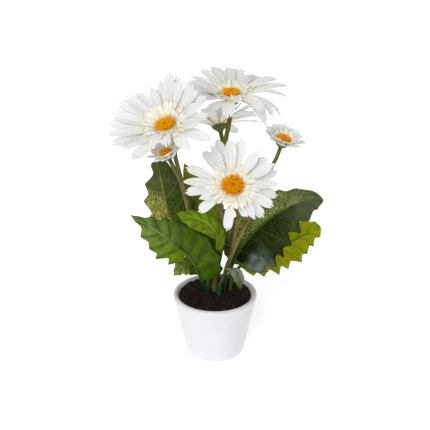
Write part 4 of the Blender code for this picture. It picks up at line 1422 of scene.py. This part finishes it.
        def shape(turn: np.ndarray, along: np.ndarray) -> np.ndarray:
            """Places on the bract.

            Args:
                turn: Places round it, from -1 to 1.
                along: Places from 0 to 1 up it.

            Returns:
                One place for each.
            """
            angle, height = math.pi * turn, low + tall * along
            half = wide * 0.5 * np.sin(math.pi * (0.25 + 0.72 * along)) ** 0.8
            thick = 0.3 * (1 - 0.6 * along) * np.sin(angle)
            radius = np.interp(height, heights, widths) + 0.25 + flare * along ** 4 + thick
            way = azimuth + np.cos(angle) * half / np.maximum(radius, 2.0)
            return turned_places(radius, way, height)

        return shape

    def build_stem(self, finish: bpy.types.Material) -> None:
        """Make the stem, which widens into the cup, and the bracts that overlap round it.

        Args:
            finish: The stem's material.
        """
        body, draw, bloom = Body(), self.look(4), self.bloom
        body.sleeve(self.stem_columns, self.stem_rows, self.tube())
        stem_verts = set(body.bm.verts)
        cup = [(wide, height) for height, wide in CUP_PROFILE]
        body.turn([(0.0, -1.0)] + cup + [(7.6, 9.6), (0.0, 9.4)], self.cup_steps)
        for vert in body.bm.verts:
            if vert not in stem_verts:
                vert[body.tone] = self.cup_tone
        for ring, (low, high, wide) in enumerate(BRACT_RINGS):
            for k in range(self.bracts):
                azimuth = math.tau * (k + 0.5 * (ring % 2)) / self.bracts + sway(draw, 0.06)
                tall = (high - low) * draw.uniform(0.9, 1.1)
                scale = self.bract(azimuth, low, tall, wide, draw.uniform(0.1, 0.9))
                body.sleeve(*self.bract_grid, scale, 0.6 + 0.4 * draw.random())
        body.move(self.frame() @ Matrix.Scale(bloom.size, 4),
                  [vert for vert in body.bm.verts if vert not in stem_verts])
        body.piece(f"flower_stem_{bloom.name}", f"stem_{bloom.name}", "stem", [finish])


# ---------------------------------------------------------------- leaves

@dataclass
class LeafBuilder:
    """One leaf in one body: a round stalk that runs on as the midrib of a toothed blade."""
    leaf: Leaf
    columns: int = 26
    stalk_rows: int = 24
    opening: float = 0.84         # share of the stalk's rows where the blade begins to open
    rows_a_station: int = 5
    edge_power: float = 1.5       # crowds the columns toward the midrib
    rib_tip: float = 0.45 * MM
    rib_power: float = 0.6
    tooth_power: float = 1.3
    notch_depth: float = 1.25
    tooth_lean: float = 0.35
    opening_width: float = 6 * MM

    @property
    def stations(self) -> int:
        """Notches and teeth along one edge, counted with both ends of the blade."""
        return 2 * self.leaf.teeth + 2

    def outline(self, half: int, share: np.ndarray) -> np.ndarray:
        """Width of half a blade without its teeth, from 0 at both ends to 1 at the widest.

        Args:
            half: 0 for the left half, 1 for the right.
            share: Places along the blade, from 0 to 1.

        Returns:
            A width for each place.
        """
        leaf = self.leaf
        share = np.maximum(0.0, share - leaf.late[half]) / (1 - leaf.late[half])
        power = math.log(0.5) / math.log(leaf.widest[half])
        return np.maximum(0.0, np.sin(math.pi * share ** power)) ** (0.55 + leaf.taper * share)

    def spread(self, turn: np.ndarray) -> np.ndarray:
        """Place across the blade, from -1 to 1, at a turn round it."""
        across = np.where(turn < 0, 1 + 2 * turn, 1 - 2 * turn)
        return np.sign(across) * np.abs(across) ** self.edge_power

    def rib(self, share: np.ndarray) -> np.ndarray:
        """Radius of the midrib at a share of the blade's length."""
        return PETIOLE_RADIUS + (self.rib_tip - PETIOLE_RADIUS) * share ** self.rib_power

    def midrib(self) -> tuple[np.ndarray, np.ndarray, np.ndarray, int]:
        """Sample the stalk and midrib, and the way that the blade spreads from it.

        Returns:
            Places, directions and sides, one row for each sample, and the blade's first sample.
        """
        leaf, last = self.leaf, PATH_SAMPLES - 1
        places, directions = smooth_path(route_of(leaf), PATH_SAMPLES)
        directions[0] = (0.0, 0.0, 1.0)
        first = round(leaf.blade_start * last)
        face, face_root = np.array(leaf.face), np.array(leaf.face_root or leaf.face)
        turned = (np.arange(PATH_SAMPLES) - first) / (last - first) / FACE_TURN
        turned = np.clip(turned, 0.0, 1.0)[:, None]
        looks = face_root + (face - face_root) * turned * turned * (3 - 2 * turned)
        sides = np.cross(directions, looks)
        sides /= np.linalg.norm(sides, axis=1)[:, None]
        sides[:first + 1] = carried_sides(directions[first::-1], sides[first])[::-1]
        return places, directions, sides, first

    def teeth(self) -> tuple[np.ndarray, np.ndarray, np.ndarray]:
        """Draw the notches and teeth, and the waves of the two edges.

        Returns:
            The stations' shares of the length, and their depths and waves, a row for each half.
        """
        leaf, stations = self.leaf, self.stations
        draw = random.Random(leaf.seed)
        shares = np.arange(stations + 1) / stations
        cuts, waves = np.zeros((2, stations + 1)), np.zeros((2, stations + 1))
        for k in range(stations + 1):
            slide = sway(draw, TOOTH_SHIFT)
            shares[k] += slide / stations if 0 < k < stations else 0.0
            for half, cut in enumerate(leaf.cut):
                cuts[half, k] = cut * draw.uniform(*NOTCH_SIZES)
                if k % 2:
                    cuts[half, k] = cut * TOOTH_SIZES * sway(draw, 1)
                waves[half, k] = leaf.wave * leaf.half_widths[half] * MM * sway(draw, 1)
        return shares, cuts, waves

    def build(self, finish: LeafSkin) -> None:
        """Make the leaf: sections of stalk and blade, sampled finely between the notches.

        Args:
            finish: The leaf's skin.
        """
        leaf, stations, stalk_rows = self.leaf, self.stations, self.stalk_rows
        places, directions, sides, first = self.midrib()
        shares, cuts, waves = self.teeth()
        last, numbers = PATH_SAMPLES - 1, np.arange(stations + 1)
        quilting = QUILTING.get(leaf.name, PLAIN_QUILTING)
        notch_depth = NOTCHES.get(leaf.name, self.notch_depth)
        blade_rows = stations * self.rows_a_station
        rows = stalk_rows + blade_rows

        def half_width(half: int, share: np.ndarray, station: np.ndarray, low: np.ndarray,
                       toward: np.ndarray) -> np.ndarray:
            """Width of one half with its notches and teeth.

            Args:
                half: 0 for the left half, 1 for the right.
                share: Places along the blade, from 0 to 1.
                station: The same places, counted in stations.
                low: The notch before each place, as a station.
                toward: How near each place is to a tooth, from 0 at a notch to 1.

            Returns:
                A width in metres for each place.
            """
            notch = notch_depth * np.interp(np.where(station - low < 1, low, low + 2), numbers,
                                            cuts[half])
            tooth = np.interp(low + 1, numbers, cuts[half])
            depth = tooth + (notch - tooth) * (1 - toward ** self.tooth_power)
            full = leaf.half_widths[half] * MM * self.outline(half, 0.03 + 0.965 * share)
            narrowest = PETIOLE_RADIUS + (BLADE_THICKNESS - PETIOLE_RADIUS) * share
            return np.maximum(narrowest, full * (1 - depth))

        def shape(turn: np.ndarray, along: np.ndarray) -> np.ndarray:
            """Places on the leaf: its upper side for the first half turn, then its lower.

            Args:
                turn: Places round it, from -1 to 1.
                along: Places from 0 to 1 from the root of the stalk to the tip.

            Returns:
                One place for each.
            """
            row = along * rows
            share = np.maximum(0.0, (row - stalk_rows) / blade_rows)
            stalk = np.clip(row / stalk_rows, 0.0, 1.0)
            across = self.spread(turn)
            out, left = np.abs(across), across < 0
            station = np.interp(share, shares, numbers)
            low = np.minimum(np.floor(station / 2) * 2, stations - 2)
            toward = 1 - np.abs(station - low - 1)      # 0 at a notch, 1 at a tooth
            extent = np.where(left, *(half_width(half, share, station, low, toward)
                                      for half in (0, 1)))
            opened = np.clip((stalk - self.opening) / (1 - self.opening), 0.0, 1.0) ** 1.5
            opened = np.where(row < stalk_rows, opened, 1.0)
            extent = PETIOLE_RADIUS + (extent - PETIOLE_RADIUS) * opened
            rib = self.rib(share)
            open_share = np.clip((extent - rib) / self.opening_width, 0.0, 1.0)
            wave = np.where(left, *(np.interp(station, numbers, waves[half]) for half in (0, 1)))
            rise = extent * (leaf.fold * out - leaf.curl * out * out) * open_share
            rise += wave * out * out * np.minimum(1.0, extent / FULL_WAVE_WIDTH) * open_share
            phase = station / 2 + VEIN_LEAN / 2 * (1 - out)      # a half number on a side vein
            swell = np.abs(np.cos(math.pi * phase)) - 0.5
            rise += quilting * swell * np.sin(math.pi * np.minimum(1.0, 1.15 * out)) * open_share
            shift = self.tooth_lean * toward * out ** 3 * open_share * (1 - share) / stations
            index = np.where(row < stalk_rows, stalk * first,
                             first + (last - first) * (share + shift))
            place, side, direction = (sampled(table, index)
                                      for table in (places, sides, directions))
            normal = np.cross(side, direction)
            x = extent * across
            ahead = TOOTH_LEAN * share - np.where(left, *leaf.sweep) * (1 - share) ** 2
            place = place + direction * (extent * out * ahead * opened)[:, None]
            wall = 0.5 * BLADE_THICKNESS * (1 - out ** 14)
            wall = np.maximum(wall, np.sqrt(np.maximum(0.0, rib * rib - x * x)))
            at_edge = (np.abs(turn) < SEAM) | (np.abs(turn) > 1 - SEAM)
            wall = np.where(at_edge, 0.0, np.where(turn < 0, wall, -wall))
            made = place + side * x[:, None] + normal * (rise + wall)[:, None]
            made[row < 0.5] = made[row < 0.5] * (1, 1, 0) + (0, 0, ROOT_DEPTH)
            return made

        body = Body()
        under, vein = map(body.layer, ("under", "vein"))
        verts = body.sheet(2 * self.columns, rows, shape, 0.0)
        turn = np.array([vert[body.across] for vert in verts])
        share = (np.array([vert[body.along] for vert in verts]) * rows - stalk_rows) / blade_rows
        across, width = self.spread(turn), sum(leaf.half_widths) / 2
        on_rib = np.abs(across) * (width * MM) < self.rib(np.maximum(0.0, share)) * 1.05
        body.label(verts, across, share, np.where((share < 0) | on_rib, 1.0, 0.0))
        for vert, below, number in zip(verts, turn > 0, np.interp(share, shares, numbers) / 2):
            vert[under], vert[vein] = float(below), number
        body.weld(verts)
        ends = [edge for edge in body.bm.edges if edge.is_boundary]
        bmesh.ops.holes_fill(body.bm, edges=ends, sides=0)
        length = np.linalg.norm(np.diff(places[first:], axis=0), axis=1).sum()
        body.piece(f"veined_{leaf.name}", leaf.name, leaf.colour.value,
                   [finish.build_for(length / MM, width)])


@dataclass
class YoungLeaves:
    """Three young leaves still rolled in their sheaths, on one foot: sizes in mm."""
    columns: int = 18
    rows: int = 16
    over_soil: float = 1.04       # share of the way from root to collar that the foot reaches
    sunk: float = 6.0             # how far below the collar the sheaths start

    def spear(self, start: np.ndarray, reach: Triple) -> Shape:
        """The shape of one rolled leaf.

        Args:
            start: Where it starts.
            reach: From there to its tip.

        Returns:
            A function that gives the rolled leaf's places.
        """
        def shape(turn: np.ndarray, along: np.ndarray) -> np.ndarray:
            """Places on it: round, creased down one side, drawn to a point.

            Args:
                turn: Places round it, from -1 to 1.
                along: Places from 0 to 1 up it.

            Returns:
                One place for each.
            """
            angle = math.pi * turn
            radius = np.interp(along, (0.0, 0.3, 0.65, 0.9, 1.0), (0.9, 1.45, 1.25, 0.6, 0.12))
            radius = radius * (1 - 0.28 * np.exp(-(turn / 0.12) ** 2)
                               + 0.06 * np.cos(3 * angle + 4 * along))
            flat = turned_places(radius, angle, np.zeros_like(angle))
            return start + np.array(reach) * along[:, None] + flat

        return shape

    def build(self, finish: bpy.types.Material) -> None:
        """Make the foot and the three rolled sheaths.

        Args:
            finish: The sheaths' material.
        """
        body = Body()
        foot = np.array((*CLUMP_FOOT, 0.0))
        deep, collar = ROOT_DEPTH / MM, COLLAR / MM

        def stump(turn: np.ndarray, along: np.ndarray) -> np.ndarray:
            """Places on the foot.

            Args:
                turn: Places round it, from -1 to 1.
                along: Places from 0 to 1 up it.

            Returns:
                One place for each.
            """
            radius = CLUMP_RADIUS * np.interp(along, (0.0, 0.85, 1.0), (1.0, 1.0, 0.6))
            height = deep + (COLLAR - ROOT_DEPTH) / MM * self.over_soil * along
            return foot + turned_places(radius, math.pi * turn, height)

        body.sleeve(self.columns, self.rows, stump)
        for x, y, *reach in YOUNG_LEAVES:
            body.sleeve(self.columns, self.rows,
                        self.spear(foot + (x, y, collar - self.sunk), tuple(reach)))
        body.move(Matrix.Scale(MM, 4))
        body.piece("young_sheaths", "young_leaves", "young", [finish])


# ---------------------------------------------------------------- studio

@dataclass
class Studio:
    """Camera, pale floor and soft light."""
    eye: Triple = (0.0, -1.31, 0.787)
    pitch: float = 25.5
    sensor: float = 36.0
    picture: float = 430.0
    focal_pixels: float = 1384.0
    floor_size: float = 40.0
    surround: float = 0.38
    lamps: tuple[tuple[str, Triple, float, float], ...] = (
        ("key", (-0.38, -1.0, 0.74), 1.58, 30.0), ("overhead", (0.1, 0.2, 1.5), 0.4, 100.0))

    def build_camera(self) -> None:
        """Place the camera, looking down at the plant."""
        data = bpy.data.cameras.new("camera")
        data.sensor_width = self.sensor
        data.lens = self.sensor * self.focal_pixels / self.picture
        made = bpy.data.objects.new("camera", data)
        made.location = self.eye
        made.rotation_euler = (math.radians(90 - self.pitch), 0.0, 0.0)
        bpy.context.scene.collection.objects.link(made)
        bpy.context.scene.camera = made

    def build_floor(self) -> None:
        """Lay the floor under the pot."""
        bm = bmesh.new()
        bmesh.ops.create_grid(bm, x_segments=2, y_segments=2, size=self.floor_size / 2)
        mesh = bpy.data.meshes.new("floor")
        bm.to_mesh(mesh)
        bm.free()
        mesh.materials.append(StudioPaint().build())
        made = bpy.data.objects.new("floor", mesh)
        bpy.context.scene.collection.objects.link(made)

    def build_light(self) -> None:
        """Light the plant: a pale surround, a soft key from front left, and a soft overhead."""
        scene = bpy.context.scene
        world = bpy.data.worlds.new("surround")
        world.use_nodes = True
        surround = world.node_tree.nodes["Background"]
        surround.inputs["Color"].default_value = (1.0, 1.0, 1.0, 1.0)
        surround.inputs["Strength"].default_value = self.surround
        scene.world = world
        scene.view_settings.view_transform = "Standard"
        for name, side, power, spread in self.lamps:
            data = bpy.data.lights.new(name, "SUN")
            data.energy, data.angle = power, math.radians(spread)
            made = bpy.data.objects.new(name, data)
            made.rotation_euler = Vector(side).to_track_quat("Z", "Y").to_euler()
            scene.collection.objects.link(made)

    def build(self) -> None:
        """Set up the whole studio."""
        self.build_camera()
        self.build_floor()
        self.build_light()


def main() -> None:
    """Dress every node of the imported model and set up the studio."""
    logging.basicConfig(level=logging.INFO, format="%(name)s: %(message)s")
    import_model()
    Studio().build()
    Pot().build()
    Soil().build()
    YoungLeaves().build(YoungSheath().build())
    petals = [Petal("ray_petal").build(),
              Petal("inner_petal", root="F0EDC8", cream="FAF6DC", white="F6F4EA", cream_until=0.8,
                    through=0.1, depth=1 * MM).build()]
    florets, stem = Florets().build(), DownyStem().build()
    for bloom in BLOOMS:
        head = BloomHead(bloom)
        head.build_stem(stem)
        head.build_petals(petals)
        head.build_disc(florets)
    for leaf in LEAVES:
        LeafBuilder(leaf).build(LEAF_SKINS[leaf.name])


if __name__ == "__main__":
    main()
